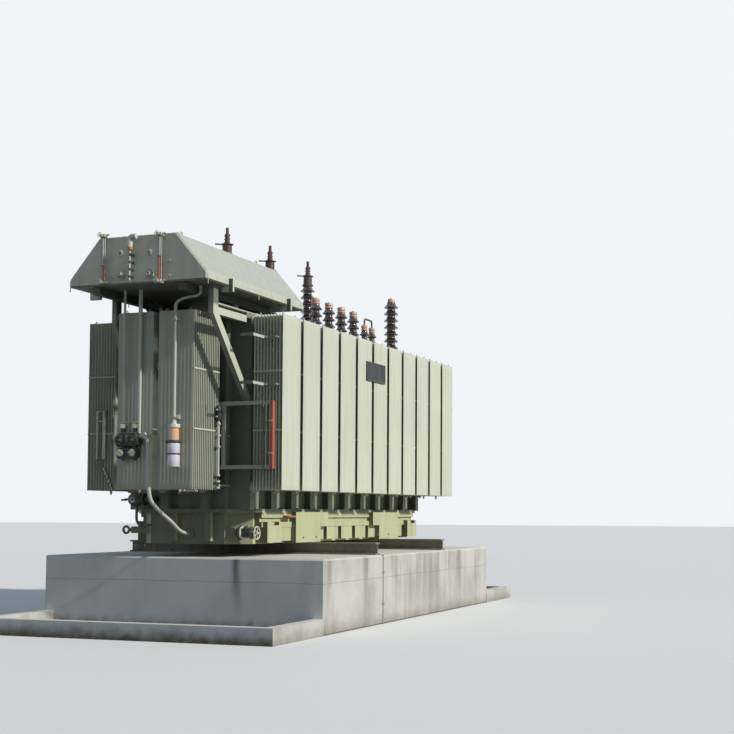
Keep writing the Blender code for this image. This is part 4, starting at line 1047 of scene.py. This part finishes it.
def conservatorFittings():
    size = conservatorSizes
    face = conservatorLow.x
    piece = Piece("conservatorFittings", "conservator_paint")
    x = face - size["gaugeStand"]
    r = size["gaugeRadius"]
    guard = size["guardSide"]
    cock = face - size["cockReach"]
    for y, bottom, top, share in size["gauges"]:
        split = bottom + (top - bottom) * share
        piece.rod((x, y, bottom + 0.03), (x, y, split), r, redOil, 14)
        piece.rod((x, y, split), (x, y, top - 0.03), r, oilGlass, 14)
        piece.rod((x, y, split - 0.008), (x, y, split + 0.008), r + 0.006, darkZinc, 14)
        for side in (y - guard, y + guard):
            piece.rod((x, side, bottom + 0.01), (x, side, top - 0.01), size["guardRadius"],
                      conservatorPaint, 8)
        for z in (bottom, top):
            piece.box((face - 0.072, y - 0.036, z - 0.024), (face, y + 0.036, z + 0.024), conservatorPaint,
                      0.006)
            piece.rod((face - 0.07, y, z), (cock, y, z), size["cockRadius"], brass, 10)
            piece.wheel(aimed((cock, y, z), (-1, 0, 0)), 0.030, whitePaint)
            piece.rod((x, y - 0.03, z), (x, y - 0.085, z + 0.012), 0.012, brass, 10)
    y = size["pipeSide"]
    x = face - size["pipeStand"]
    half = size["clampHalf"]
    top = size["pipeTop"]
    piece.rod((x, y, size["pipeBottom"]), (x, y, top), size["pipeRadius"], whitePaint, 10)
    for z in between(size["pipeBottom"] + 0.05, top - 0.06, 4):
        piece.box((x - half, y - half, z - 0.016), (face, y + half, z + 0.016), darkZinc, 0.002)
    piece.rod((x, y, top), (x, y, top + size["collarHeight"]), size["collarRadius"], orangePaint, 16)
    high = top + size["elbowRise"]
    piece.tube(bent([(x, y, top + 0.03), (x, y, high), (x, y - size["elbowReach"], high)], 0.075),
               size["elbowRadius"], whitePaint, 16)
    for y, z in size["covers"]:
        piece.turned([
            (0, 0.056), (0.030, 0.056), (0.036, 0.05), (0.036, 0.03), (0.052, 0.026), (0.052, 0), (0, 0)],
            conservatorPaint, aimed((face, y, z), (-1, 0, 0)), 24)
        for stand, radius in size["coverRings"]:
            piece.ring(aimed((face - stand, y, z), (-1, 0, 0)), radius, 0.0055, whitePaint)
    for y, z in size["lugs"]:
        piece.box((face - 0.012, y - 0.022, z - 0.016), (face, y + 0.022, z + 0.03), conservatorPaint, 0.003)
        piece.ring(aimed((face - 0.018, y, z - 0.012), (-1, 0, 0)), 0.030, 0.007, whitePaint, 20)
    for y, z in size["studs"]:
        piece.rod((face, y, z), (face - 0.05, y, z), 0.009, zinc, 8)
        piece.rod((face - 0.03, y - 0.028, z), (face - 0.03, y + 0.028, z), 0.008, whitePaint, 8)
    top = conservatorHigh.z
    piece.turned([
        (0, 0.075), (0.05, 0.075), (0.055, 0.065), (0.055, 0.03), (0.085, 0.026), (0.085, 0), (0, 0)],
        conservatorPaint, Matrix.Translation((face + size["fillerPlace"], 0.0, top)), 24)
    for x in (face + size["eyeInset"], conservatorHigh.x - size["eyeInset"]):
        for y in (-size["eyeSide"], size["eyeSide"]):
            piece.box((x - 0.035, y - 0.006, top - 0.003), (x + 0.035, y + 0.006, top + 0.05),
                      conservatorPaint, 0.003)
            piece.ring(aimed((x, y, top + size["eyeRise"]), (0, 1, 0)), 0.028, 0.008, conservatorPaint, 18)
    piece.done()


def conservatorSeams():
    # weld beads round the shell, just proud of it
    size = conservatorSizes
    low = conservatorLow.z + size["seamRise"]
    edge = conservatorLow.z + size["edge"]
    top = conservatorHigh.z
    bottomHalf = size["halfBottom"]
    topHalf = size["halfTop"]
    outline = [(-bottomHalf, low), (-bottomHalf, edge), (-topHalf, top), (topHalf, top),
               (bottomHalf, edge), (bottomHalf, low)]
    piece = Piece("conservatorSeams", "conservator_paint")
    inset = size["seamInset"]
    for x in between(conservatorLow.x + inset, conservatorHigh.x - inset, 3):
        piece.tube([(x, y, z) for y, z in outline], size["seamRadius"], conservatorPaint, 8)
    piece.done()


conservatorFittings()
conservatorSeams()
print("conservator ready")


# Breather: pipe with an S-bend, clamps, white flange, amber cup, glass with silica gel

breather = dict(
    stand=0.083, side=-0.341, start=-0.70, pipe=0.020, crossing=0.13, bend=0.07, bodyHeight=0.53,
    clampDrops=(0.13, 1.37), clampHalf=0.026, cockRise=0.10, cockReach=0.075, spoutDrop=0.214)


def breatherPiece():
    size = breather
    low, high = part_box("breather")
    x = low.x + size["stand"]
    y = size["side"]
    crossing = stackHigh.z + size["crossing"]
    bodyTop = low.z + size["bodyHeight"]
    piece = Piece("breather", "fitting_paint")
    piece.tube(bent([
        (x, size["start"], high.z), (x, size["start"], crossing + 0.03), (x, y - 0.10, crossing),
        (x, y, crossing - 0.05), (x, y, bodyTop)], size["bend"]), size["pipe"], palePaint, 14)
    half = size["clampHalf"]
    for drop in size["clampDrops"]:
        z = stackHigh.z - drop
        piece.box((x - 0.028, y - half, z - 0.02), (endFace, y + half, z + 0.02), palePaint, 0.004)
        piece.rod((x - 0.004, y - 0.05, z), (x - 0.004, y + 0.05, z), 0.009, brass, 8)
    place = Matrix.Translation((x, y, bodyTop))
    piece.turned([
        (0, 0.06), (0.028, 0.06), (0.032, 0.045), (0.032, 0.012), (0.075, 0.008), (0.078, 0),
        (0.078, -0.038), (0.06, -0.042), (0, -0.042)], whitePaint, place, 28)
    piece.turned([(0, -0.04), (0.060, -0.04), (0.066, -0.06), (0.066, -0.196), (0, -0.196)], amber, place, 28)
    piece.turned([
        (0, -0.194), (0.076, -0.194), (0.080, -0.20), (0.080, -0.228), (0.076, -0.234), (0, -0.234)],
        darkPaint, place, 28)
    spout = -size["spoutDrop"]
    piece.rod(place @ Vector((0, 0.07, spout)), place @ Vector((0, 0.115, spout)), 0.020, darkPaint, 12)
    piece.turned([
        (0, -0.232), (0.072, -0.232), (0.079, -0.244), (0.079, -0.352), (0.074, -0.362), (0, -0.362)],
        silica, place, 32)
    piece.turned([
        (0, -0.36), (0.076, -0.36), (0.078, -0.364), (0.078, -0.377), (0.076, -0.381), (0, -0.381)],
        darkPaint, place, 28)
    piece.turned([
        (0, -0.379), (0.074, -0.379), (0.079, -0.39), (0.079, -0.504), (0.074, -0.516), (0, -0.516)],
        silica, place, 32)
    piece.turned([(0, -0.514), (0.081, -0.514), (0.083, -0.518), (0.080, -0.53), (0, -0.53)],
                 whitePaint, place, 28)
    z = bodyTop + size["cockRise"]
    reach = y - size["cockReach"]
    piece.rod((x, y, z), (x, reach, z), 0.012, brass, 10)
    piece.wheel(aimed((x, reach, z), (0, -1, 0)), 0.026, whitePaint)
    piece.done("breather")


# Oil manifold: a cluster of cocks, caps and elbows with two pipes up to the conservator

hoseTail = Vector((-4.042, 0.045, 2.43))
manifold = dict(
    drop=1.725, bodyHeight=0.145, lowerGap=0.03, lowerHeight=0.13, cockSide=0.075, flangeRadius=0.086,
    lowerRadius=0.070, stemRadius=0.034, wheelReach=0.035, wheelRadius=0.050, forkRadius=0.034,
    tailRadius=0.030, unionRadius=0.032,
    pipes=((0.208, 0.022, 0.026), (0.429, 0.0, 0.016)))    # side, set back and radius of each pipe


def manifoldPiece():
    size = manifold
    low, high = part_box("oil_manifold")
    x = (low.x + endFace) / 2
    front = low.x - size["wheelReach"]
    bodyBottom = stackHigh.z - size["drop"]
    bodyTop = bodyBottom + size["bodyHeight"]
    mid = (bodyBottom + bodyTop) / 2
    lowerTop = bodyBottom - size["lowerGap"]
    lowerBottom = lowerTop - size["lowerHeight"]
    left = high.y
    right = low.y
    piece = Piece("oilManifold", "fitting_paint")
    piece.box((x - 0.05, right + 0.03, bodyBottom - 0.01), (x + 0.05, left - 0.03, bodyTop + 0.03),
              darkPaint, 0.014)
    piece.box((x - 0.045, right + 0.045, lowerBottom), (x + 0.045, left - 0.03, lowerTop), darkPaint, 0.012)

    def flangeAt(y, z, radius, half, sides):
        rim = half - 0.006
        piece.turned([
            (0, -half), (radius - 0.004, -half), (radius, -rim), (radius, rim), (radius - 0.004, half),
            (0, half)], darkPaint, aimed((x, y, z), (0, 1, 0)), sides)

    for y in (left - 0.03, right + 0.045):
        flangeAt(y, (lowerTop + lowerBottom) / 2, size["lowerRadius"], 0.012, 20)
    for y in (left - 0.015, (left + right) / 2, right + 0.015):
        flangeAt(y, mid, size["flangeRadius"], 0.016, 24)
    stem = size["stemRadius"]
    capLevel = lowerTop - 0.06
    for y in (left - size["cockSide"], right + size["cockSide"]):
        piece.rod((x, y, bodyTop), (x, y, bodyTop + 0.085), stem, darkPaint, 16)
        piece.turned([
            (0, 0.05), (0.024, 0.05), (0.040, 0.038), (0.044, 0.01), (0.044, -0.012), (0, -0.012)], brass,
            Matrix.Translation((x, y, bodyTop + 0.092)), 16)
        piece.rod((x, y - 0.055, bodyTop + 0.155), (x, y + 0.055, bodyTop + 0.155), 0.014, whitePaint, 10)
        piece.rod((x, y, bodyTop + 0.13), (x, y, bodyTop + 0.16), 0.012, brass, 10)
        piece.rod((x, y, bodyBottom), (x, y, lowerTop), stem, darkPaint, 14)
        piece.turned([(0, 0), (0.040, 0), (0.046, 0.008), (0.046, 0.03), (0.03, 0.04), (0, 0.04)], brass,
                     aimed((x - 0.045, y, capLevel), (-1, 0, 0)), 16)
        piece.rod((x - 0.08, y - 0.05, capLevel), (x - 0.08, y + 0.05, capLevel), 0.011, whitePaint, 8)
        piece.rod((x, y, lowerBottom + 0.01), (x, y, lowerBottom - 0.03), 0.024, darkPaint, 12)
        piece.wheel(aimed((front, y, mid), (-1, 0, 0)), size["wheelRadius"], darkPaint)
        piece.rod((x, y, mid), (front, y, mid), 0.014, brass, 10)
        piece.turned([(0, 0), (0.052, 0), (0.056, 0.01), (0.056, 0.034), (0, 0.034)], darkPaint,
                     aimed((x - 0.03, y, mid), (-1, 0, 0)), 20)
    # the white Y-fitting, from whose tail the hose hangs
    start = Vector((x, right + 0.01, mid + 0.05))
    piece.rod(start, start + Vector((0, -0.085, 0.02)), size["forkRadius"], whitePaint, 14)
    piece.rod(start + Vector((0, -0.05, 0.01)), hoseTail + Vector((0, 0.012, 0.05)), size["tailRadius"],
              whitePaint, 14)
    piece.rod(hoseTail + Vector((0, 0.004, 0.06)), hoseTail, size["unionRadius"], brass, 12)
    for y, back, radius in size["pipes"]:
        piece.tube([(x + back, y, mid), (x + back, y, 3.2), (x + back, y, high.z)], radius, palePaint, 14)
    piece.done("oil_manifold")


breatherPiece()
manifoldPiece()


# Gas relay: a flanged cast body with a sight glass in the pipe to the conservator

relay = dict(
    pipe=0.032, bend=0.06, flangePlaces=(0.115, 0.135), flangeRadius=0.062, flangeHalf=0.008,
    bodyHalf=0.07, bodySide=0.078, bodyDrop=0.05, bodyRise=0.075)


def relayPiece():
    size = relay
    low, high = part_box("gas_relay")
    y = (low.y + high.y) / 2
    radius = size["pipe"]
    # the pipe's level is the middle between the cover's top and the conservator's underside
    z = (coverTop + conservatorLow.z) / 2
    start = high.x - radius
    stop = low.x + radius
    middle = (start + stop) / 2
    piece = Piece("gasRelay", "dark_paint")
    piece.tube(bent([(start, y, low.z), (start, y, z), (stop, y, z), (stop, y, high.z)], size["bend"]),
               radius, darkPaint, 16)
    r = size["flangeRadius"]
    half = size["flangeHalf"]
    for side in (-1, 1):
        for offset in size["flangePlaces"]:
            piece.turned([(0, -half), (r - 0.002, -half), (r, 0), (r - 0.002, half), (0, half)], darkPaint,
                         aimed((middle + side * offset, y, z), (1, 0, 0)), 20)
    piece.turned([
        (0, -0.105), (0.05, -0.105), (0.066, -0.08), (0.07, 0.0), (0.066, 0.08), (0.05, 0.105), (0, 0.105)],
        darkPaint, aimed((middle, y, z), (1, 0, 0)), 24)
    half = size["bodyHalf"]
    side = size["bodySide"]
    piece.box((middle - half, y - side, z - size["bodyDrop"]),
              (middle + half, y + side, z + size["bodyRise"]), darkPaint, 0.014)
    for way in (-1, 1):
        piece.turned([(0, 0.012), (0.026, 0.012), (0.034, 0.006), (0.034, 0), (0, 0)], oilGlass,
                     aimed((middle, y + way * side, z), (0, way, 0)), 20)
    piece.turned([(0, 0.02), (0.012, 0.02), (0.02, 0.01), (0.02, 0), (0, 0)], brass,
                 Matrix.Translation((middle, y, z + size["bodyRise"])), 12)
    piece.done("gas_relay")


relayPiece()


# Drain valve: flanges, a waisted body, bonnet and hand wheel along its axis

drainValve = dict(stem=0.012, wheelInset=0.016, wheelRadius=0.082, bonnetPlace=0.135, boltCircle=0.08)


def drainValvePiece():
    size = drainValve
    low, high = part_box("drain_valve")
    place = aimed(((low.x + high.x) / 2, high.y, (low.z + high.z) / 2), (0, -1, 0))
    length = high.y - low.y
    piece = Piece("drainValve", "dark_paint")
    piece.turned([
        (0, 0), (0.046, 0), (0.046, 0.036), (0.098, 0.04), (0.1, 0.044), (0.1, 0.056), (0.098, 0.06),
        (0.06, 0.064), (0.052, 0.085), (0.062, 0.12), (0.066, 0.15), (0.058, 0.18), (0.05, 0.195),
        (0.082, 0.198), (0.084, 0.212), (0.05, 0.216), (0.03, 0.235), (0.022, 0.262), (0, 0.262)],
        darkPaint, place, 32)
    piece.turned([(0, 0.064), (0.09, 0.064), (0.092, 0.07), (0.09, 0.078), (0, 0.078)], whitePaint, place, 32)
    piece.rod(place @ Vector((0, 0, 0.25)), place @ Vector((0, 0, length - 0.004)), size["stem"], zinc, 10)
    piece.wheel(aimed(place @ Vector((0, 0, length - size["wheelInset"])), (0, -1, 0)),
                size["wheelRadius"], whitePaint, 5)
    piece.turned([(0, 0.0), (0.03, 0.0), (0.036, 0.012), (0.036, 0.07), (0.026, 0.09), (0, 0.09)], darkPaint,
                 aimed(place @ Vector((0, 0, size["bonnetPlace"])), (-0.4, 0, 0.92)), 20)
    piece.done("drain_valve")
    bolts("valveBolts", circleSpots(place, size["boltCircle"], 8, 0.06), 0.009, 0.012, zinc, "dark_paint")


drainValvePiece()
print("valves and pipes ready")


# Hose and bar in front of the near end, the side valve and the hauling eye

hose = dict(
    route=((-4.042, 0.036, 1.88), (-4.00, 0.032, 1.713), (-3.93, 0.018, 1.636), (-3.78, -0.006, 1.532),
           (-3.58, -0.044, 1.413), (-3.40, -0.040, 1.305), (-3.24, -0.040, 1.27)),
    radius=0.026, bend=0.10, barPlace=-3.83, barStart=-0.31, barRadius=0.013, barDrop=0.022)


def hosePiece():
    size = hose
    piece = Piece("hosePipes", "fitting_paint")
    last = size["route"][-1]
    wall = Vector((endWall, last[1], last[2]))
    piece.tube(bent([hoseTail, *size["route"], wall], size["bend"], 4), size["radius"], palePaint, 14)
    piece.turned([(0, 0), (0.055, 0), (0.06, 0.01), (0.06, 0.024), (0.03, 0.03), (0, 0.03)], troughPaint,
                 aimed(wall, (-1, 0, 0)), 20)
    x = size["barPlace"]
    z = stackLow.z - size["barDrop"]
    piece.rod((x, size["barStart"], z), (x, stackLow.y + 0.01, z), size["barRadius"], palePaint, 10)
    for y in (size["barStart"] - 0.05, stackLow.y + 0.04):
        piece.box((x - 0.015, y - 0.01, z - 0.002), (x + 0.015, y + 0.01, stackLow.z), palePaint, 0.002)
    piece.done()


sideValve = dict(place=(-3.30, 0.66, 1.72), pipeSide=-0.19, pipe=0.035, rod=0.014, stem=0.02, drain=0.018)


def sideValvePiece():
    size = sideValve
    x, y, z = size["place"]
    pipeSide = y + size["pipeSide"]
    piece = Piece("sideValve", "dark_paint")
    piece.turned([
        (0, -0.10), (0.04, -0.10), (0.04, 0.0), (0.082, 0.004), (0.084, 0.02), (0.05, 0.026), (0.06, 0.06),
        (0.092, 0.10), (0.098, 0.15), (0.092, 0.20), (0.06, 0.24), (0.03, 0.255), (0, 0.255)],
        darkPaint, aimed((x, y - 0.12, z), (0, 1, 0)), 28)
    piece.turned([(0, 0.005), (0.035, 0.005), (0.04, 0), (0, 0)], whitePaint,
                 aimed((x - 0.09, y + 0.03, z - 0.01), (-1, 0, 0)), 16)
    piece.rod((x, pipeSide, z), (endWall, pipeSide, z), size["pipe"], darkPaint, 16)
    piece.rod((x, y + 0.12, z), (x, y + 0.21, z), size["rod"], darkPaint, 10)
    piece.box((x - 0.015, y + 0.18, z - 0.02), (x + 0.015, y + 0.26, z + 0.005), darkPaint, 0.004)
    piece.rod((x, y - 0.02, z + 0.08), (x, y - 0.02, z + 0.17), size["stem"], darkPaint, 12)
    piece.tube(bent([(x, y + 0.02, z - 0.08), (x, y + 0.02, z - 0.28), (x, y - 0.02, z - 0.34),
                     (x, y - 0.20, z - 0.34)], 0.06), size["drain"], darkPaint, 10)
    piece.done()


haulingEye = dict(
    place=(-3.02, 1.02, 1.31), radius=0.045, bar=0.018, armHalf=0.035, armRise=0.045,
    armFoot=(0.635, 0.695), shankHalf=0.022)


def haulingEyePiece():
    size = haulingEye
    x, y, z = size["place"]
    half = size["armHalf"]
    rise = size["armRise"]
    foot, farFoot = size["armFoot"]
    piece = Piece("haulingEye", "trough_paint")
    piece.plate([(x - half, foot), (x + half, farFoot), (x + half, y - 0.10), (x - half, y - 0.10)],
                z - rise, z + rise, troughPaint)
    half = size["shankHalf"]
    piece.box((x - half, y - 0.12, z - half - 0.002), (x + half, y - 0.04, z + half + 0.002),
              troughPaint, 0.006)
    piece.ring(aimed((x, y, z), (1, 0, 0)), size["radius"], size["bar"], troughPaint, 24)
    piece.done()


# Brackets, conduits and thin pipes at the near end

brackets = dict(
    levels=(3.816, 3.202), half=0.019, reach=0.365, stand=0.045, thickness=0.012, inner=-1.05,
    turn=-1.232, outer=-1.425, pins=(-1.26, -1.40))
conduits = dict(
    edge=0.006, side=(0.09, 0.13), bend=0.03, radius=0.009, clamps=(0.2, 0.62), clampHalf=0.012)
endPipe = dict(
    x=-3.40, y=-0.60, low=2.04, high=2.74, radius=0.019, collars=(1.87, 1.95, 2.03, 2.40, 2.70),
    collarRadius=0.030, collarHalf=0.014, foot=1.86, stems=(2.79, 2.88), ties=(1.90, 2.55))
leftConduits = dict(
    sides=(1.30, 1.198), low=2.26, high=2.91, stand=0.024, radius=0.021, sleeve=0.0235,
    bars=((1.16, 1.34, 2.895, 2.925, steelPaint), (1.198, 1.30, 2.765, 2.785, palePaint),
          (1.17, 1.33, 2.275, 2.295, steelPaint)), barDepth=0.03,
    sleeves=((2.60, 2.75), (2.30, 2.36)), tags=((2.53, 2.63), (2.81, 2.95), (2.98, 3.08)),
    tagSides=(1.056, 1.076), chain=(1.198, 1.07, 2.128, 1.86), links=6)


def benchBrackets():
    size = brackets
    piece = Piece("benchBrackets", "steel")
    face = sideLow.x
    out = face - size["reach"]
    inner = face - size["stand"]
    thick = size["thickness"]
    turn = size["turn"]
    for z in size["levels"]:
        low = z - size["half"]
        high = z + size["half"]
        piece.box((out, turn, low), (out + thick, size["inner"], high), steelPaint, 0.002)
        piece.box((out, turn, low), (inner, turn + 0.01, high), palePaint, 0.002)
        piece.box((inner - thick, size["outer"], low), (inner, turn + 0.01, high), steelPaint, 0.002)
        for y in size["pins"]:
            piece.rod((inner - 0.017, y, z), (face, y, z), 0.012, whitePaint, 8)
    piece.done()


def conduitPieces():
    size = conduits
    low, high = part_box("conduit_frame")
    front = low.x
    edge = low.y - size["edge"]
    piece = Piece("conduits", "steel")
    piece.box((front, edge, low.z), (high.x, low.y, high.z), redOxide, 0.001)
    piece.box((front - 0.008, edge, low.z), (front, low.y + 0.028, high.z), redOxide, 0.001)
    x = front - 0.014
    for side in size["side"]:
        y = low.y + side
        piece.tube(bent([(front + 0.02, y, high.z - 0.02), (x, y, high.z - 0.06), (x, y, low.z + 0.02)],
                        size["bend"]), size["radius"], darkZinc, 8)
    half = size["clampHalf"]
    for rise in size["clamps"]:
        z = low.z + rise
        piece.box((front - 0.022, low.y - 0.004, z - half), (front, low.y + 0.05, z + half), zinc, 0.002)
    piece.done()


def endPipePiece():
    size = endPipe
    x = size["x"]
    y = size["y"]
    low = size["low"]
    high = size["high"]
    half = size["collarHalf"]
    piece = Piece("endPipe", "fitting_paint")
    piece.rod((x, y, low), (x, y, high), size["radius"], palePaint, 14)
    for z in size["collars"]:
        piece.rod((x, y, z - half), (x, y, z + half), size["collarRadius"], palePaint, 16)
    piece.rod((x, y, size["foot"]), (x, y, low), 0.014, darkPaint, 12)
    piece.turned([
        (0, 0.20), (0.02, 0.20), (0.036, 0.17), (0.042, 0.13), (0.046, 0.07), (0.042, 0.02), (0.03, 0),
        (0, 0)], darkPaint, Matrix.Translation((x, y, high)), 20)
    for z in size["stems"]:
        piece.rod((x - 0.03, y, z), (x - 0.058, y, z), 0.014, whitePaint, 10)
    for z in size["ties"]:
        piece.rod((x, y, z), (endWall + 0.05, y, z), 0.014, palePaint, 10)
    piece.done()


def leftConduitPieces():
    size = leftConduits
    face = sideLow.x
    x = face - size["stand"]
    inner = size["sides"][1]
    piece = Piece("leftConduits", "fitting_paint")
    for y in size["sides"]:
        piece.rod((x, y, size["low"]), (x, y, size["high"]), size["radius"], palePaint, 12)
    for start, end, low, high, finish in size["bars"]:
        piece.box((face - size["barDepth"], start, low), (face, end, high), finish, 0.003)
    for bottom, top in size["sleeves"]:
        piece.rod((x, inner, bottom), (x, inner, top), size["sleeve"], palePaint, 12)
    start, end = size["tagSides"]
    for bottom, top in size["tags"]:
        piece.box((face - 0.012, start, bottom), (face, end, top), palePaint, 0.002)
    startSide, endSide, startLevel, endLevel = size["chain"]
    for y, z in zip(between(startSide, endSide, size["links"]), between(startLevel, endLevel, size["links"])):
        piece.box((face - 0.010, y - 0.02, z - 0.028), (face, y + 0.02, z + 0.028), steelPaint, 0.002)
        piece.box((face - 0.020, y - 0.011, z - 0.024), (face - 0.008, y + 0.011, z + 0.024),
                  whitePaint, 0.003)
    piece.done()


hosePiece()
sideValvePiece()
haulingEyePiece()
benchBrackets()
conduitPieces()
endPipePiece()
leftConduitPieces()


# Blank dark plate on the sunny bank, rust-red pads, earthing strip and beam bolts

blankPlate = dict(
    left=-0.576, right=0.126, bottom=3.517, top=3.803, stand=0.004, back=0.016, frame=0.014, rim=0.021,
    railInset=0.07, railHalf=0.015)
pads = dict(start=-2.19, end=-1.96, low=1.478, high=1.507, inner=0.92, outer=1.03)
earthing = dict(place=-1.39, half=0.02, thickness=0.003, reach=0.42, clips=(0.28, 0.72), clipThick=0.007)
anchors = dict(
    holeSpots=(0.055, 0.215), holeLevel=1.05, plugRadius=0.015, web=0.022, places=(1.30, 1.86), level=0.022,
    edge=0.035, bearers=(-1.38, 1.38), bearerBolts=(-0.30, 0.12), bearerFace=1.0, bearerLevel=1.20)


def blankPlatePiece():
    size = blankPlate
    left = size["left"]
    right = size["right"]
    bottom = size["bottom"]
    top = size["top"]
    rim = size["frame"]
    y = sideFace - size["stand"]
    piece = Piece("blankPlate", "dark_paint")
    piece.box((left, y - size["back"], bottom), (right, y - 0.004, top), blackPaint, 0.004)
    for start, end, low, high in (
            (left, right, bottom, bottom + rim), (left, right, top - rim, top),
            (left, left + rim, bottom, top), (right - rim, right, bottom, top)):
        piece.box((start, y - size["rim"], low), (end, y - 0.015, high), darkZinc, 0.002)
    half = size["railHalf"]
    for z in (bottom + size["railInset"], top - size["railInset"]):
        piece.box((left + 0.03, y - 0.006, z - half), (right - 0.03, y + 0.003, z + half), darkZinc, 0.002)
    piece.done()


def padPieces():
    size = pads
    piece = Piece("rustRedPads", "steel")
    for side in (-1, 1):
        inner, outer = sorted((side * size["inner"], side * size["outer"]))
        piece.box((size["start"], inner, size["low"]), (size["end"], outer, size["high"]), redOxide, 0.006)
    piece.done()


def earthingPiece():
    size = earthing
    low = size["place"] - size["half"]
    high = size["place"] + size["half"]
    y = plinthLow.y
    top = plinthHigh.z
    thick = size["thickness"]
    piece = Piece("earthingStrip", "steel")
    piece.box((low, y - thick, 0.0), (high, y, top + thick), zinc, 0.001)
    piece.box((low, y - thick, top), (high, y + size["reach"], top + thick), zinc, 0.001)
    for z in size["clips"]:
        piece.box((low - 0.02, y - size["clipThick"], z - 0.018), (high + 0.02, y, z + 0.018), zinc, 0.002)
    piece.done()


def beamPieces():
    size = anchors
    low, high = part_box("cross_beam_near")
    web = (low.x + high.x) / 2 - size["web"] / 2
    # painted light: two white discs on the near beam's web stand for light seen through two holes in it
    piece = Piece("beamHoleLights", "steel")
    for inset in size["holeSpots"]:
        y = high.y - inset
        piece.rod((web, y, size["holeLevel"]), (web - 0.004, y, size["holeLevel"]), size["plugRadius"],
                  whitePaint, 14)
    piece.done()
    spots = []
    for node in ("cross_beam_near", "cross_beam_far"):
        low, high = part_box(node)
        for side in (-1, 1):
            for y in size["places"]:
                for x in (low.x + size["edge"], high.x - size["edge"]):
                    spots.append(((x, side * y, low.z + size["level"]), Vector((0, 0, 1))))
    bolts("beamAnchors", spots, 0.014, 0.022, darkZinc)
    spots = []
    for side in (-1, 1):
        for beam in size["bearers"]:
            for x in size["bearerBolts"]:
                spots.append(((beam + x, side * size["bearerFace"], size["bearerLevel"]),
                              Vector((0, side, 0))))
    bolts("bearerBolts", spots, 0.012, 0.014, zinc, "trough_paint")


blankPlatePiece()
padPieces()
earthingPiece()
beamPieces()
print("brackets and trim ready")


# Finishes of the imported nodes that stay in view

nodeFinishes = {
    "plinth": concreteFinish, "kerb": concreteFinish, "cross_beam": beamPaint, "tank_trough": troughPaint,
    "tank_bell": tankPaint, "tank_cover": tankPaint, "conservator": conservatorPaint,
    "cradle_beam": cradlePaint, "strut": strutPaint, "conduit_frame": framePaint}
for name, node in frame["nodes"].items():
    for start, finish in nodeFinishes.items():
        if name.startswith(start):
            node.data.materials.clear()
            node.data.materials.append(finish)


# Floor, light and camera

stage = dict(
    floor=140, seenGround=(0.86, 0.86, 0.84, 1), ground=(0.18, 0.18, 0.17, 1), cloud=0.4, cloudTone=0.92,
    sun=3.2, sunAngle=0.05, sunColour=(1.0, 0.97, 0.91), sunFrom=(-0.024, -0.86, 0.507),
    sky=0.30, skyColour=(0.60, 0.77, 1.0, 1), seenSky=(0.88, 0.91, 0.94, 1))


def seenStraight(nodes):
    # one for what the camera, a reflection or glass looks at, nought for light
    source = nodes.tree.nodes.new("ShaderNodeLightPath")
    camera, glossy, through = [
        Wire(nodes, source.outputs[f"Is {kind} Ray"]) for kind in ("Camera", "Glossy", "Transmission")]
    return camera.larger(glossy.larger(through))


def studio():
    ground = Finish("paleFloor")
    cloud = ground.noise(stage["cloud"], 3)
    pale = ground.mix(cloud * 0.2, stage["seenGround"], darker(stage["seenGround"], stage["cloudTone"]))
    ground.give(Base_Color=ground.mix(seenStraight(ground), stage["ground"], pale), Roughness=0.9)
    data = bpy.data.meshes.new("floor")
    half = stage["floor"]
    corners = [(-half, -half, 0), (half, -half, 0), (half, half, 0), (-half, half, 0)]
    data.from_pydata(corners, [], [(0, 1, 2, 3)])
    data.materials.append(ground.material)
    floor = bpy.data.objects.new("floor", data)
    bpy.context.scene.collection.objects.link(floor)

    lamp = bpy.data.lights.new("key", "SUN")
    lamp.energy = stage["sun"]
    lamp.angle = stage["sunAngle"]
    lamp.color = stage["sunColour"]
    key = bpy.data.objects.new("key", lamp)
    key.rotation_euler = Vector(stage["sunFrom"]).to_track_quat("Z", "Y").to_euler()
    bpy.context.scene.collection.objects.link(key)

    world = bpy.data.worlds.new("studio")
    world.use_nodes = True
    bpy.context.scene.world = world
    sky = NodeTree(world.node_tree)
    output = next(node for node in world.node_tree.nodes if node.type == "OUTPUT_WORLD")
    fill = sky.add("ShaderNodeBackground", {}, {"Color": stage["skyColour"], "Strength": stage["sky"]})
    pale = sky.add("ShaderNodeBackground", {}, {"Color": stage["seenSky"], "Strength": 1.0})
    both = sky.add("ShaderNodeMixShader", {}, {0: seenStraight(sky), 1: fill, 2: pale})
    sky.feed(output.inputs["Surface"], both)


view = dict(
    place=(-18.3365, -9.0753, 1.5508), yaw=0.3472, pitch=0.0558, roll=-0.0028, lens=63.95, sensor=36,
    shiftX=-0.0995, shiftY=0.0995, farthest=500)


def cameraView():
    lens = bpy.data.cameras.new("camera")
    lens.lens = view["lens"]
    lens.sensor_width = view["sensor"]
    lens.shift_x = view["shiftX"]
    lens.shift_y = view["shiftY"]
    lens.clip_end = view["farthest"]
    camera = bpy.data.objects.new("camera", lens)
    camera.location = view["place"]
    camera.rotation_euler = (math.pi / 2 + view["pitch"], view["roll"], view["yaw"] - math.pi / 2)
    bpy.context.scene.collection.objects.link(camera)
    bpy.context.scene.camera = camera


studio()
cameraView()
bpy.context.scene.view_settings.view_transform = "Standard"
print("stage ready")

bpy.context.view_layer.update()
